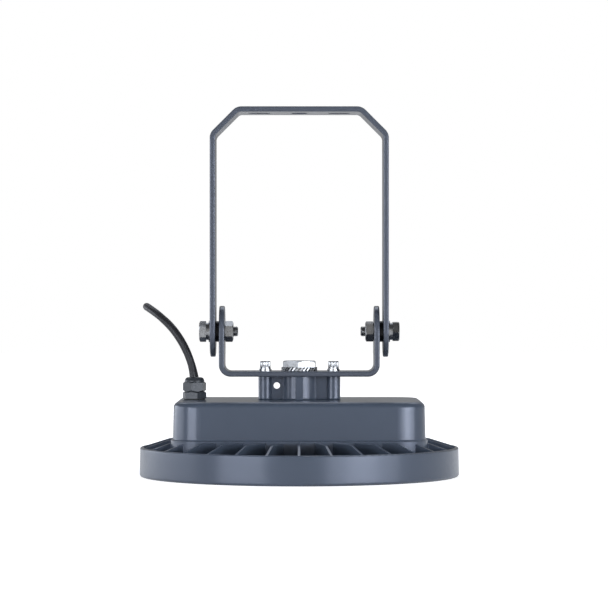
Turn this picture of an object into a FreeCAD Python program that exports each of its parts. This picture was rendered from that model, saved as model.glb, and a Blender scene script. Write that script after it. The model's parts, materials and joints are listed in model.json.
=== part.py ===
import FreeCAD, Part
import math
import os
import types

import Sketcher

# High bay light, in millimetres.
# The origin is the centre of the circle on which the lamp stands, lens down.
# +X points away from the cable gland, +Y to the back and +Z up.

# Driving dimensions
SIZES = {
    # heat sink ring and deck
    "ring_outer_radius": 150.0,
    "ring_draft": 0.6,
    "ring_wall": 4.0,
    "ring_height": 27.2,
    "ring_foot_rounding": 2.4,
    "ring_top_rounding": 1.2,
    "deck_underside": 14.0,
    "deck_thickness": 4.0,
    "lens_wall_thickness": 3.0,
    "screw_channel_width": 11.0,
    # fins
    "fin_count": 32,
    "fin_thickness": 2.2,
    "fin_top": 34.5,
    "fin_slope_length": 26.0,
    "fin_tip_inset": 2.0,
    "fin_kink_rounding": 14.0,
    "fin_inner_radius": 60.0,
    # how far a raised feature reaches into what it stands on
    "root_depth": 1.0,
    # driver box, one casting with the heat sink
    "box_depth": 151.0,
    "box_corner_radius": 27.0,
    "box_top": 71.5,
    "box_draft_angle": 1.4,
    "box_top_rounding": 5.5,
    "box_wall": 3.5,
    "cavity_draft_allowance": 1.0,
    "roof_thickness": 3.5,
    "plinth_top": 36.0,
    "plinth_ledge": 1.8,
    "plinth_rounding": 1.4,
    # hub on the box
    "hub_height": 22.0,
    "hub_tube_diameter": 31.5,
    "hub_web_thickness": 5.0,
    "hub_rib_width": 7.0,
    "hub_rib_reach": 21.0,
    "hub_boss_diameter": 13.0,
    "hub_screw_offset": 32.0,
    "hub_screw_depth": 17.0,
    "hub_foot_rounding": 1.5,
    "safety_hole_diameter": 6.0,
    "safety_hole_offset": 21.2,
    "safety_hole_drop": 8.8,
    # light engine
    "led_plate_thickness": 3.0,
    "led_plate_gap": 1.0,
    "led_plate_screw_inset": 11.0,
    "led_plate_screw_count": 8,
    "led_board_thickness": 1.6,
    "led_board_margin": 6.0,
    "led_edge_margin": 5.0,
    "led_ring_spacing": 20.5,
    "led_rings": 5,
    "led_count_inner": 8,
    "led_count_step": 6,
    "led_width": 3.0,
    "led_height": 0.7,
    "board_screw_count": 6,
    "lens_thickness": 3.0,
    "lens_gap": 0.5,
    "lens_underside": 4.0,
    "dome_radius": 7.0,
    "dome_crown_radius": 5.4,
    "dome_depth": 2.6,
    "dome_rounding": 2.4,
    "gasket_width": 6.0,
    "front_ring_thickness": 2.5,
    "front_ring_overlap": 7.0,
    "front_ring_gap": 0.4,
    "front_ring_bevel": 1.0,
    "front_ring_screw_count": 12,
    "lead_hole_diameter": 9.0,
    "grommet_bore": 6.0,
    "grommet_flange_width": 1.5,
    "grommet_flange_thickness": 1.2,
    # fasteners
    "thread_gap": 0.1,
    "hole_gap": 0.4,
    "small_screw_diameter": 3.0,
    "small_screw_length": 4.2,
    "small_screw_head_diameter": 5.6,
    "small_screw_head_height": 1.6,
    "plate_screw_diameter": 4.0,
    "plate_screw_length": 8.0,
    "ring_screw_length": 10.0,
    "screw_boss_diameter": 9.0,
    "screw_boss_height": 5.0,
    "countersink_depth": 1.8,
    "pan_head_diameter": 7.6,
    "pan_head_height": 2.6,
    "recess_across_flats": 2.5,
    "recess_depth": 1.3,
    "screw_end_bevel": 1.0,
    # driver and wiring
    "driver_length": 150.0,
    "driver_width": 84.0,
    "driver_height": 34.0,
    "driver_flange_length": 12.0,
    "driver_flange_thickness": 3.0,
    "driver_flange_inset": 2.0,
    "driver_wall_gap": 13.0,
    "wiring_gap": 19.0,
    "lead_drop_gap": 10.75,
    "driver_screw_spacing": 60.0,
    "driver_boss_height": 6.0,
    "driver_boss_diameter": 10.0,
    "driver_rounding": 3.0,
    "terminal_length": 34.0,
    "terminal_width": 24.0,
    "terminal_height": 15.0,
    "terminal_boss_height": 2.0,
    "terminal_offset": 42.0,
    "terminal_shift": 4.5,
    "terminal_pitch": 9.0,
    "terminal_well_diameter": 5.0,
    "terminal_well_depth": 6.0,
    "core_diameter": 2.4,
    "lead_diameter": 1.8,
    "lead_spacing": 2.6,
    "terminal_core_spacing": 3.6,
    "core_bend_radius": 3.0,
    "lead_bend_radius": 2.0,
    "input_lead_drop": 8.0,
    # cable gland and cord
    "gland_inset": 18.0,
    "gland_thread_diameter": 16.0,
    "gland_body_across_flats": 20.0,
    "gland_body_height": 6.3,
    "gland_gasket_thickness": 1.2,
    "gland_nut_across_flats": 19.6,
    "gland_nut_height": 8.8,
    "gland_dome_height": 4.4,
    "gland_dome_rounding": 3.4,
    "gland_dome_step": 0.4,
    "gland_dome_taper": 0.6,
    "gland_nut_gap": 0.3,
    "gland_thread_length": 8.5,
    "gland_collar_length": 7.0,
    "gland_seal_diameter": 12.3,
    "gland_seal_depth": 3.0,
    "gland_mouth_diameter": 9.4,
    "gland_locknut_height": 3.5,
    "cord_diameter": 7.2,
    "cord_gap": 0.1,
    "ferrule_collar_diameter": 3.0,
    "ferrule_collar_length": 6.0,
    "ferrule_pin_diameter": 1.4,
    "ferrule_pin_length": 8.0,
    # inner bracket on the hub
    "bracket_width": 150.0,
    "bracket_depth": 48.0,
    "bracket_thickness": 5.0,
    "bracket_bend_radius": 11.0,
    "pivot_rise": 42.0,
    "arm_end_radius": 23.5,
    "strap_edge_rounding": 1.2,
    # hub plug and bracket screws
    "plug_diameter": 20.0,
    "plug_length": 22.0,
    "plug_across_flats": 30.0,
    "plug_head_height": 6.0,
    "lock_washer_height": 3.6,
    "lock_washer_rim_radius": 13.2,
    "lock_washer_sheet": 1.0,
    "lock_washer_tooth_length": 3.6,
    "lock_washer_tooth_count": 30,
    "lock_washer_twist": 45.0,
    "cap_screw_diameter": 6.0,
    "cap_screw_length": 20.0,
    "cap_head_diameter": 10.0,
    "cap_head_height": 6.0,
    "cap_socket_across_flats": 5.0,
    "cap_socket_depth": 3.2,
    "cap_washer_diameter": 12.0,
    "cap_washer_thickness": 1.6,
    "cap_spring_diameter": 10.4,
    "cap_spring_thickness": 1.6,
    # yoke
    "yoke_thickness": 5.0,
    "yoke_depth": 48.0,
    "yoke_rise": 210.0,
    "yoke_corner_cut": 25.0,
    "yoke_bend_radius": 11.0,
    "yoke_centre_hole_diameter": 16.0,
    "yoke_slot_offset": 37.5,
    "yoke_slot_length": 21.0,
    "yoke_slot_width": 10.0,
    # pivots
    "pivot_diameter": 10.0,
    "pivot_bolt_length": 30.0,
    "pivot_across_flats": 17.0,
    "pivot_head_height": 6.4,
    "pivot_nut_height": 8.0,
    "spacer_thickness": 3.5,
    "spacer_diameter": 19.5,
    "pivot_washer_diameter": 20.0,
    "pivot_washer_thickness": 1.6,
    "pivot_spring_diameter": 16.2,
    "pivot_spring_thickness": 2.5,
    "spring_slit": 1.6,
}

# How far round a bend's corner its arc starts, as a share of the shorter run beside it
ARC_SHARE = 0.45
# A hexagon's bevel: where it starts on the flat end and how far out the cut reaches, as shares of the size
# across flats, and its slope in degrees
BEVEL_START_SHARE = 0.475
BEVEL_REACH_SHARE = 0.6
BEVEL_SLOPE = 30.0
# How far the gland's hexagons, the plug and the pivots' bolts and nuts happen to be turned, in degrees
CLOCK = {
    "gland_body": 45.5,
    "gland_nut": 17.5,
    "gland_locknut": 12.0,
    "hub_plug": 27.0,
    "left_pivot_bolt": 57.0,
    "left_pivot_nut": 2.0,
    "left_pivot_spring_washer": 70.0,
    "right_pivot_bolt": 35.0,
    "right_pivot_nut": 45.0,
    "right_pivot_spring_washer": 92.0,
}

# The cord's route, chosen by eye: up through the gland, over to the left, back in a wide bend, down behind
# the box and along the floor behind the ring. The first point is inside the gland.
CORD_ROUTE = [
    (-98.5, 0.0, 64.0),
    (-98.5, 0.0, 94.0),
    (-104.5, 0.0, 115.0),
    (-116.5, 2.5, 135.5),
    (-131.5, 12.0, 150.0),
    (-144.5, 31.0, 158.5),
    (-147.5, 56.0, 159.0),
    (-140.0, 79.5, 153.0),
    (-125.0, 96.0, 140.0),
    (-111.5, 104.5, 119.0),
    (-103.0, 109.5, 94.0),
    (-99.5, 116.0, 67.5),
    (-98.0, 128.5, 44.0),
    (-91.5, 145.0, 23.5),
    (-77.5, 162.0, 9.5),
    (-56.0, 174.0, 4.0),
    (-31.0, 179.0, 4.0),
    (-6.0, 177.0, 4.0),
]

# The three stripped cores beyond the cord's end, each as its own short route.
CORE_ROUTES = {
    "core_live": [(-5.7, 178.3, 3.2), (3.0, 178.5, 3.0), (14.0, 181.0, 2.1), (28.5, 186.0, 1.8)],
    "core_neutral": [(-5.9, 175.7, 3.2), (3.0, 174.3, 3.0), (14.5, 170.8, 2.1), (28.0, 164.5, 1.8)],
    "core_earth": [(-5.8, 177.0, 5.6), (4.5, 176.2, 5.1), (17.0, 175.0, 2.3), (33.0, 173.0, 1.9)],
}


class Size(float):
    """A length or a number that also carries the sheet formula it was worked out from."""

    def __new__(cls, number, formula):
        made = super().__new__(cls, number)
        made.formula = formula
        return made

    def __add__(self, other):
        return Size(float(self) + float(other), f"({self.formula} + {formula_of(other)})")

    def __radd__(self, other):
        return Size(float(other) + float(self), f"({formula_of(other)} + {self.formula})")

    def __sub__(self, other):
        return Size(float(self) - float(other), f"({self.formula} - {formula_of(other)})")

    def __rsub__(self, other):
        return Size(float(other) - float(self), f"({formula_of(other)} - {self.formula})")

    def __mul__(self, other):
        return Size(float(self) * float(other), f"({self.formula} * {formula_of(other)})")

    def __rmul__(self, other):
        return Size(float(other) * float(self), f"({formula_of(other)} * {self.formula})")

    def __truediv__(self, other):
        return Size(float(self) / float(other), f"({self.formula} / {formula_of(other)})")

    def __neg__(self):
        return Size(-float(self), f"(0 - {self.formula})")


def formula_of(number):
    return number.formula if isinstance(number, Size) else f"{float(number):.9f}"


doc = FreeCAD.newDocument("high_bay_light")
sheet = doc.addObject("Spreadsheet::Sheet", "sizes")
for row, (alias, number) in enumerate(SIZES.items(), 1):
    sheet.set(f"A{row}", alias)
    sheet.set(f"B{row}", str(number))
    sheet.setAlias(f"B{row}", alias)
doc.recompute()
size = types.SimpleNamespace(**{name: Size(sheet.get(name), f"sizes.{name}") for name in SIZES})

sub_parts = []

# Places worked out from the driving dimensions
ring_inner_radius = size.ring_outer_radius - size.ring_wall
deck_top = size.deck_underside + size.deck_thickness
lens_wall_outer = ring_inner_radius - size.screw_channel_width
lens_wall_inner = lens_wall_outer - size.lens_wall_thickness
ring_screw_radius = ring_inner_radius - size.screw_channel_width / 2
fin_tip_radius = size.ring_outer_radius - size.ring_draft - size.fin_tip_inset
fin_flat_radius = size.ring_outer_radius - size.fin_slope_length
gap_between_fins = 180.0 / size.fin_count

lens_radius = lens_wall_inner - size.lens_gap
lens_top = size.lens_underside + size.lens_thickness
front_ring_underside = size.lens_underside - size.front_ring_thickness
led_plate_underside = size.deck_underside - size.led_plate_thickness
led_plate_radius = lens_wall_inner - size.led_plate_gap
plate_screw_circle = led_plate_radius - size.led_plate_screw_inset
led_board_underside = led_plate_underside - size.led_board_thickness
led_board_radius = plate_screw_circle - size.led_board_margin

# The box is as wide as the gland, the terminal block, the driver and the gaps between them
box_half_width = (
    size.gland_inset + size.terminal_shift + size.terminal_width / 2 + size.wiring_gap + size.driver_length
    + size.driver_flange_length + size.driver_wall_gap + size.cavity_draft_allowance + size.box_wall
) / 2
cavity_half_width = box_half_width - size.box_wall - size.cavity_draft_allowance
cavity_half_depth = size.box_depth / 2 - size.box_wall - size.cavity_draft_allowance
cavity_corner_radius = size.box_corner_radius - size.box_wall
roof_underside = size.box_top - size.roof_thickness

hub_top = size.box_top + size.hub_height
bracket_top = hub_top + size.bracket_thickness
pivot_height = hub_top + size.pivot_rise
bracket_half = size.bracket_width / 2
yoke_inner_half = bracket_half + size.spacer_thickness
yoke_outer_half = yoke_inner_half + size.yoke_thickness
yoke_top = pivot_height + size.yoke_rise
washer_face = yoke_outer_half + size.pivot_washer_thickness
bolt_head_face = washer_face + size.pivot_spring_thickness
nut_face = bracket_half - size.bracket_thickness

gland_x = -(box_half_width - size.gland_inset)
gland_seat = size.box_top + size.gland_gasket_thickness
gland_body_top = gland_seat + size.gland_body_height
gland_nut_foot = gland_body_top + size.gland_nut_gap
gland_shoulder = gland_nut_foot + size.gland_nut_height
gland_thread_end = gland_seat - size.gland_thread_length

driver_centre = cavity_half_width - size.driver_wall_gap - size.driver_flange_length - size.driver_length / 2

# The LEDs' leads go down just beyond the driver's end, halfway between two circles of LEDs
lead_hole_x = driver_centre + size.driver_length / 2 + size.lead_drop_gap
room_beyond_hole = float(led_board_radius - size.led_edge_margin - lead_hole_x)
circles_beyond_hole = math.floor(room_beyond_hole / float(size.led_ring_spacing) + 0.5)
outer_led_radius = lead_hole_x + size.led_ring_spacing * (circles_beyond_hole - 0.5)
board_screw_circle = outer_led_radius - size.led_ring_spacing / 2
driver_screw_reach = size.driver_length / 2 + size.driver_flange_length / 2
driver_top = roof_underside - size.driver_boss_height
terminal_top = roof_underside - size.terminal_boss_height
terminal_x = gland_x + size.terminal_shift


# Sketch and feature helpers


def new_body(label):
    body = doc.addObject("PartDesign::Body", label)
    body.Label = label
    sub_parts.append(body)
    return body


def place(item, x=0.0, y=0.0, z=0.0, axis=(0, 0, 1), turn=0.0):
    """Sets a sub-part's place: a turn about an axis, and an origin that follows the sheet."""
    item.Placement = FreeCAD.Placement(FreeCAD.Vector(x, y, z), FreeCAD.Rotation(FreeCAD.Vector(*axis), turn))
    for letter, number in zip("xyz", (x, y, z)):
        if isinstance(number, Size):
            item.setExpression(f"Placement.Base.{letter}", number.formula)


def sketch_on(body, role, name, lift=0.0):
    """A sketch on one of the body's own origin planes, lifted along that plane's normal."""
    sketch = body.newObject("Sketcher::SketchObject", name)
    plane = next(item for item in body.Origin.OriginFeatures if item.Role == role)
    sketch.AttachmentSupport = (plane, [""])
    sketch.MapMode = "FlatFace"
    sketch.setExpression("AttachmentOffset.Base.z", formula_of(lift))
    return sketch


def dimension(sketch, kind, *where, length):
    index = sketch.addConstraint(Sketcher.Constraint(kind, *where, float(length)))
    sketch.setExpression(f"Constraints[{index}]", formula_of(length))


def locate(sketch, geometry, point, x, y):
    dimension(sketch, "DistanceX", -1, 1, geometry, point, length=x)
    dimension(sketch, "DistanceY", -1, 1, geometry, point, length=y)


def circle(sketch, x, y, radius):
    centre = FreeCAD.Vector(x, y, 0)
    index = sketch.addGeometry(Part.Circle(centre, FreeCAD.Vector(0, 0, 1), float(radius)))
    dimension(sketch, "Radius", index, length=radius)
    locate(sketch, index, 3, x, y)


def unit_towards(start, end):
    step = end - start
    step.normalize()
    return step


def rounded_corner(before, corner, after, radius):
    """The two ends and the middle of the arc that rounds a corner."""
    back = unit_towards(corner, before)
    ahead = unit_towards(corner, after)
    half = back.getAngle(ahead) / 2
    cut = float(radius) / math.tan(half)
    middle_way = back + ahead
    middle_way.normalize()
    centre = corner + middle_way * (float(radius) / math.sin(half))
    return corner + back * cut, centre - middle_way * float(radius), corner + ahead * cut


def outline(sketch, corners):
    """A closed outline. A corner is (x, y), or (x, y, radius) where it is rounded."""
    points = [FreeCAD.Vector(corner[0], corner[1], 0) for corner in corners]
    count = len(points)
    arcs = {}
    for index, corner in enumerate(corners):
        if len(corner) == 3:
            after = points[(index + 1) % count]
            arcs[index] = rounded_corner(points[index - 1], points[index], after, corner[2])
    sides = []
    for index in range(count):
        start = arcs[index][2] if index in arcs else points[index]
        following = (index + 1) % count
        end = arcs[following][0] if following in arcs else points[following]
        sides.append(sketch.addGeometry(Part.LineSegment(start, end)))
    for index, corner in enumerate(corners):
        arriving = sides[index - 1]
        leaving = sides[index]
        if index not in arcs:
            sketch.addConstraint(Sketcher.Constraint("Coincident", arriving, 2, leaving, 1))
            locate(sketch, leaving, 1, corner[0], corner[1])
            continue
        first, middle, last = arcs[index]
        arc = sketch.addGeometry(Part.Arc(first, middle, last))
        starts_first = (sketch.getPoint(arc, 1) - first).Length < (sketch.getPoint(arc, 2) - first).Length
        near, far = (1, 2) if starts_first else (2, 1)
        sketch.addConstraint(Sketcher.Constraint("Tangent", arriving, 2, arc, near))
        sketch.addConstraint(Sketcher.Constraint("Tangent", arc, far, leaving, 1))
        dimension(sketch, "Radius", arc, length=corner[2])
        sharp = sketch.addGeometry(Part.Point(points[index]), True)
        locate(sketch, sharp, 1, corner[0], corner[1])
        sketch.addConstraint(Sketcher.Constraint("PointOnObject", sharp, 1, arriving))
        sketch.addConstraint(Sketcher.Constraint("PointOnObject", sharp, 1, leaving))


def rectangle_corners(x_low, x_high, y_low, y_high, *rounding):
    return [
        (x_low, y_low, *rounding),
        (x_high, y_low, *rounding),
        (x_high, y_high, *rounding),
        (x_low, y_high, *rounding),
    ]


def centred_corners(half_x, half_y, *rounding):
    return rectangle_corners(-half_x, half_x, -half_y, half_y, *rounding)


def hexagon_corners(across_flats, x=0.0):
    reach = across_flats / math.sqrt(3)
    return [
        (x + reach * math.cos(math.radians(60 * step)), reach * math.sin(math.radians(60 * step)))
        for step in range(6)
    ]


def slot(sketch, x, length, width):
    """A slot along the sketch's x axis: two straight sides and two round ends."""
    radius = width / 2
    half = (length - width) / 2
    up = FreeCAD.Vector(0, 0, 1)
    ends = []
    for sign in (1, -1):
        centre = FreeCAD.Vector(x + sign * half, 0, 0)
        first = math.radians(-90 if sign > 0 else 90)
        arc = Part.ArcOfCircle(Part.Circle(centre, up, float(radius)), first, first + math.pi)
        ends.append(sketch.addGeometry(arc))
    right, left = ends
    top = sketch.addGeometry(
        Part.LineSegment(FreeCAD.Vector(x + half, radius, 0), FreeCAD.Vector(x - half, radius, 0))
    )
    bottom = sketch.addGeometry(
        Part.LineSegment(FreeCAD.Vector(x - half, -radius, 0), FreeCAD.Vector(x + half, -radius, 0))
    )
    for first, second in ((right, top), (top, left), (left, bottom), (bottom, right)):
        sketch.addConstraint(Sketcher.Constraint("Tangent", first, 2, second, 1))
    sketch.addConstraint(Sketcher.Constraint("Equal", right, left))
    dimension(sketch, "Radius", right, length=radius)
    locate(sketch, right, 3, x + half, 0.0)
    locate(sketch, left, 3, x - half, 0.0)


def feature(body, kind, name):
    return body.newObject(f"PartDesign::{kind}", name)


def extrude(body, kind, sketch, name, length, symmetric=False, backwards=False):
    made = feature(body, kind, name)
    made.Profile = sketch
    made.setExpression("Length", formula_of(length))
    made.SideType = "Symmetric" if symmetric else "One side"
    made.Reversed = backwards
    made.Refine = False
    body.Tip = made
    return made


def pad(body, sketch, name, length, **ways):
    return extrude(body, "Pad", sketch, name, length, **ways)


def pocket(body, sketch, name, length, **ways):
    """A cut that has to remove something, or the build stops."""
    doc.recompute()
    before = body.Shape.Volume
    made = extrude(body, "Pocket", sketch, name, length, **ways)
    doc.recompute()
    if not body.Shape.Volume < before:
        raise ValueError(f"{body.Label}: {name} removes nothing")
    return made


def turn_profile(body, kind, name, corners, axis_x=None):
    """A profile drawn in the XZ plane, turned about the Z axis or about an upright line at axis_x."""
    sketch = sketch_on(body, "XZ_Plane", f"{name}_profile")
    outline(sketch, corners)
    made = feature(body, kind, name)
    made.Profile = sketch
    if axis_x is None:
        made.ReferenceAxis = (sketch, ["V_Axis"])
    else:
        low = min(corner[1] for corner in corners)
        high = max(corner[1] for corner in corners)
        line = Part.LineSegment(FreeCAD.Vector(axis_x, low, 0), FreeCAD.Vector(axis_x, high, 0))
        index = sketch.addGeometry(line, True)
        locate(sketch, index, 1, axis_x, low)
        locate(sketch, index, 2, axis_x, high)
        made.ReferenceAxis = (sketch, ["Axis0"])
    made.Angle = 360
    made.Refine = False
    body.Tip = made
    return made


def turned(body, name, corners, axis_x=None):
    return turn_profile(body, "Revolution", name, corners, axis_x)


def turned_cut(body, name, corners):
    doc.recompute()
    before = body.Shape.Volume
    made = turn_profile(body, "Groove", name, corners)
    doc.recompute()
    if not body.Shape.Volume < before:
        raise ValueError(f"{body.Label}: {name} removes nothing")
    return made


def around(body, originals, name, count):
    """Copies of features about the Z axis."""
    pattern = feature(body, "PolarPattern", name)
    pattern.Originals = originals
    axis = next(item for item in body.Origin.OriginFeatures if item.Role == "Z_Axis")
    pattern.Axis = (axis, [""])
    pattern.Angle = 360
    pattern.setExpression("Occurrences", formula_of(count))
    pattern.Refine = False
    body.Tip = pattern
    return pattern


def dress_edges(body, kind, name, amount, chosen):
    """A fillet or chamfer on the edges of the body's latest shape that pass a test."""
    doc.recompute()
    base = body.Tip
    names = [f"Edge{index}" for index, edge in enumerate(base.Shape.Edges, 1) if chosen(edge)]
    if not names:
        raise ValueError(f"{body.Label}: {name} finds no edge")
    made = feature(body, kind, name)
    made.Base = (base, names)
    made.setExpression("Radius" if kind == "Fillet" else "Size", formula_of(amount))
    body.Tip = made
    return made


def round_edges(body, name, radius, chosen):
    return dress_edges(body, "Fillet", name, radius, chosen)


def bevel_edges(body, name, amount, chosen):
    return dress_edges(body, "Chamfer", name, amount, chosen)


def near(first, second, within=0.01):
    return abs(float(first) - float(second)) < within


def level_edge(edge, height):
    box = edge.BoundBox
    return near(box.ZMin, height) and near(box.ZMax, height)


def is_circle(edge, radius):
    return isinstance(edge.Curve, Part.Circle) and near(edge.Curve.Radius, radius)


def middle_of(edge):
    return edge.valueAt((edge.FirstParameter + edge.LastParameter) / 2)


def distance_to_outline(point, half_x, half_y, radius):
    """How far a point is outside a rectangle with round corners, in plan."""
    past_x = abs(point.x) - (float(half_x) - float(radius))
    past_y = abs(point.y) - (float(half_y) - float(radius))
    if past_x > 0 and past_y > 0:
        return math.hypot(past_x, past_y) - float(radius)
    return max(past_x, past_y) - float(radius)


def bevelled_hex(body, name, across_flats, foot, height, bevel_foot=False):
    """A hexagonal prism about Z whose corners are turned off at its top, and at its foot where asked."""
    sketch = sketch_on(body, "XY_Plane", f"{name}_hexagon", foot)
    outline(sketch, hexagon_corners(across_flats))
    made = pad(body, sketch, name, height)
    inner = across_flats * BEVEL_START_SHARE
    outer = across_flats * BEVEL_REACH_SHARE
    drop = (outer - inner) * math.tan(math.radians(BEVEL_SLOPE))
    top = foot + height
    turned_cut(body, f"{name}_top_bevel", [(inner, top), (outer, top), (outer, top - drop)])
    if bevel_foot:
        turned_cut(body, f"{name}_foot_bevel", [(inner, foot), (outer, foot + drop), (outer, foot)])
    return made


# Casting


def housing():
    """The die casting: outer ring, deck, fins, driver box and hub in one piece, open below."""
    body = new_body("housing")
    half_x = box_half_width
    half_y = size.box_depth / 2
    plinth_x = half_x + size.plinth_ledge
    plinth_y = half_y + size.plinth_ledge
    plinth_corner = size.box_corner_radius + size.plinth_ledge

    turned(body, "ring_and_deck", [
        (0.0, size.deck_underside),
        (lens_wall_inner, size.deck_underside),
        (lens_wall_inner, size.lens_underside),
        (lens_wall_outer, size.lens_underside),
        (lens_wall_outer, size.deck_underside),
        (ring_inner_radius, size.deck_underside),
        (ring_inner_radius, 0.0),
        (size.ring_outer_radius, 0.0),
        (size.ring_outer_radius - size.ring_draft, size.ring_height),
        (ring_inner_radius, size.ring_height),
        (ring_inner_radius, deck_top),
        (0.0, deck_top),
    ])
    round_edges(
        body, "ring_foot", size.ring_foot_rounding,
        lambda edge: level_edge(edge, 0) and is_circle(edge, size.ring_outer_radius),
    )
    round_edges(
        body, "ring_lip", size.ring_top_rounding,
        lambda edge: level_edge(edge, size.ring_height)
        and is_circle(edge, size.ring_outer_radius - size.ring_draft),
    )

    plinth = sketch_on(body, "XY_Plane", "plinth_plan", size.deck_underside)
    outline(plinth, centred_corners(plinth_x, plinth_y, plinth_corner))
    pad(body, plinth, "plinth", size.plinth_top - size.deck_underside)
    box = sketch_on(body, "XY_Plane", "box_plan", size.plinth_top)
    outline(box, centred_corners(half_x, half_y, size.box_corner_radius))
    walls = pad(body, box, "box", size.box_top - size.plinth_top)
    walls.setExpression("TaperAngle", formula_of(-size.box_draft_angle))
    round_edges(body, "box_crown", size.box_top_rounding, lambda edge: level_edge(edge, size.box_top))
    round_edges(
        body, "box_foot", size.plinth_rounding,
        lambda edge: level_edge(edge, size.plinth_top)
        and abs(distance_to_outline(middle_of(edge), half_x, half_y, size.box_corner_radius))
        < size.plinth_ledge / 3,
    )

    fin = sketch_on(body, "XZ_Plane", "fin_profile")
    outline(fin, [
        (size.fin_inner_radius, size.deck_underside + size.deck_thickness / 2),
        (fin_tip_radius, size.deck_underside + size.deck_thickness / 2),
        (fin_tip_radius, size.ring_height),
        (fin_flat_radius, size.fin_top, size.fin_kink_rounding),
        (size.fin_inner_radius, size.fin_top),
    ])
    first_fin = pad(body, fin, "fin", size.fin_thickness, symmetric=True)
    around(body, [first_fin], "fins", size.fin_count)

    plate_boss = sketch_on(body, "XY_Plane", "plate_boss_plan", size.deck_underside)
    circle(plate_boss, *first_plate_screw(), size.screw_boss_diameter / 2)
    boss = pad(body, plate_boss, "plate_boss", size.deck_thickness + size.screw_boss_height)
    around(body, [boss], "plate_bosses", size.led_plate_screw_count)
    ring_boss = sketch_on(body, "XY_Plane", "ring_boss_plan", size.lens_underside)
    circle(ring_boss, ring_screw_radius, 0.0, size.screw_boss_diameter / 2)
    boss = pad(body, ring_boss, "ring_boss", size.deck_underside + size.root_depth - size.lens_underside)
    around(body, [boss], "ring_bosses", size.front_ring_screw_count)

    cavity = sketch_on(body, "XY_Plane", "cavity_plan", size.deck_underside)
    outline(cavity, centred_corners(cavity_half_width, cavity_half_depth, cavity_corner_radius))
    pocket(body, cavity, "cavity", roof_underside - size.deck_underside, backwards=True)

    driver_boss = sketch_on(body, "XY_Plane", "driver_boss_plan", driver_top)
    for across in (-1, 1):
        for along in (-1, 1):
            circle(driver_boss, driver_centre + along * driver_screw_reach,
                   across * size.driver_screw_spacing / 2, size.driver_boss_diameter / 2)
    pad(body, driver_boss, "driver_bosses", size.driver_boss_height + size.root_depth)
    terminal_boss = sketch_on(body, "XY_Plane", "terminal_boss_plan", terminal_top)
    circle(terminal_boss, terminal_x, size.terminal_offset, size.screw_boss_diameter / 2)
    pad(body, terminal_boss, "terminal_boss", size.terminal_boss_height + size.root_depth)

    hub(body)
    tapped_holes(body)
    return body


def hub(body):
    """The hub on the box: a threaded tube, two webs with a screw boss each, and two ribs."""
    rooted = size.box_top - size.root_depth
    height = hub_top - rooted
    tube = sketch_on(body, "XY_Plane", "hub_tube_plan", rooted)
    circle(tube, 0.0, 0.0, size.hub_tube_diameter / 2)
    pad(body, tube, "hub_tube", height)
    webs = sketch_on(body, "XY_Plane", "hub_web_plan", rooted)
    outline(webs, centred_corners(size.hub_screw_offset, size.hub_web_thickness / 2))
    pad(body, webs, "hub_webs", height)
    ribs = sketch_on(body, "XY_Plane", "hub_rib_plan", rooted)
    outline(ribs, centred_corners(size.hub_rib_width / 2, size.hub_rib_reach))
    pad(body, ribs, "hub_ribs", height)
    bosses = sketch_on(body, "XY_Plane", "hub_boss_plan", rooted)
    for side in (-1, 1):
        circle(bosses, side * size.hub_screw_offset, 0.0, size.hub_boss_diameter / 2)
    pad(body, bosses, "hub_bosses", height)
    round_edges(
        body, "hub_foot", size.hub_foot_rounding,
        lambda edge: level_edge(edge, size.box_top)
        and math.hypot(middle_of(edge).x, middle_of(edge).y) < size.hub_screw_offset + size.hub_boss_diameter,
    )
    safety = sketch_on(body, "XZ_Plane", "safety_hole_outline")
    circle(safety, -size.safety_hole_offset, hub_top - size.safety_hole_drop, size.safety_hole_diameter / 2)
    pocket(body, safety, "safety_hole", size.hub_web_thickness * 2, symmetric=True)


def first_plate_screw():
    """Where the LED plate's first screw is, in plan: in the middle of a gap between fins."""
    angle = math.radians(gap_between_fins)
    return plate_screw_circle * math.cos(angle), plate_screw_circle * math.sin(angle)


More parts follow.
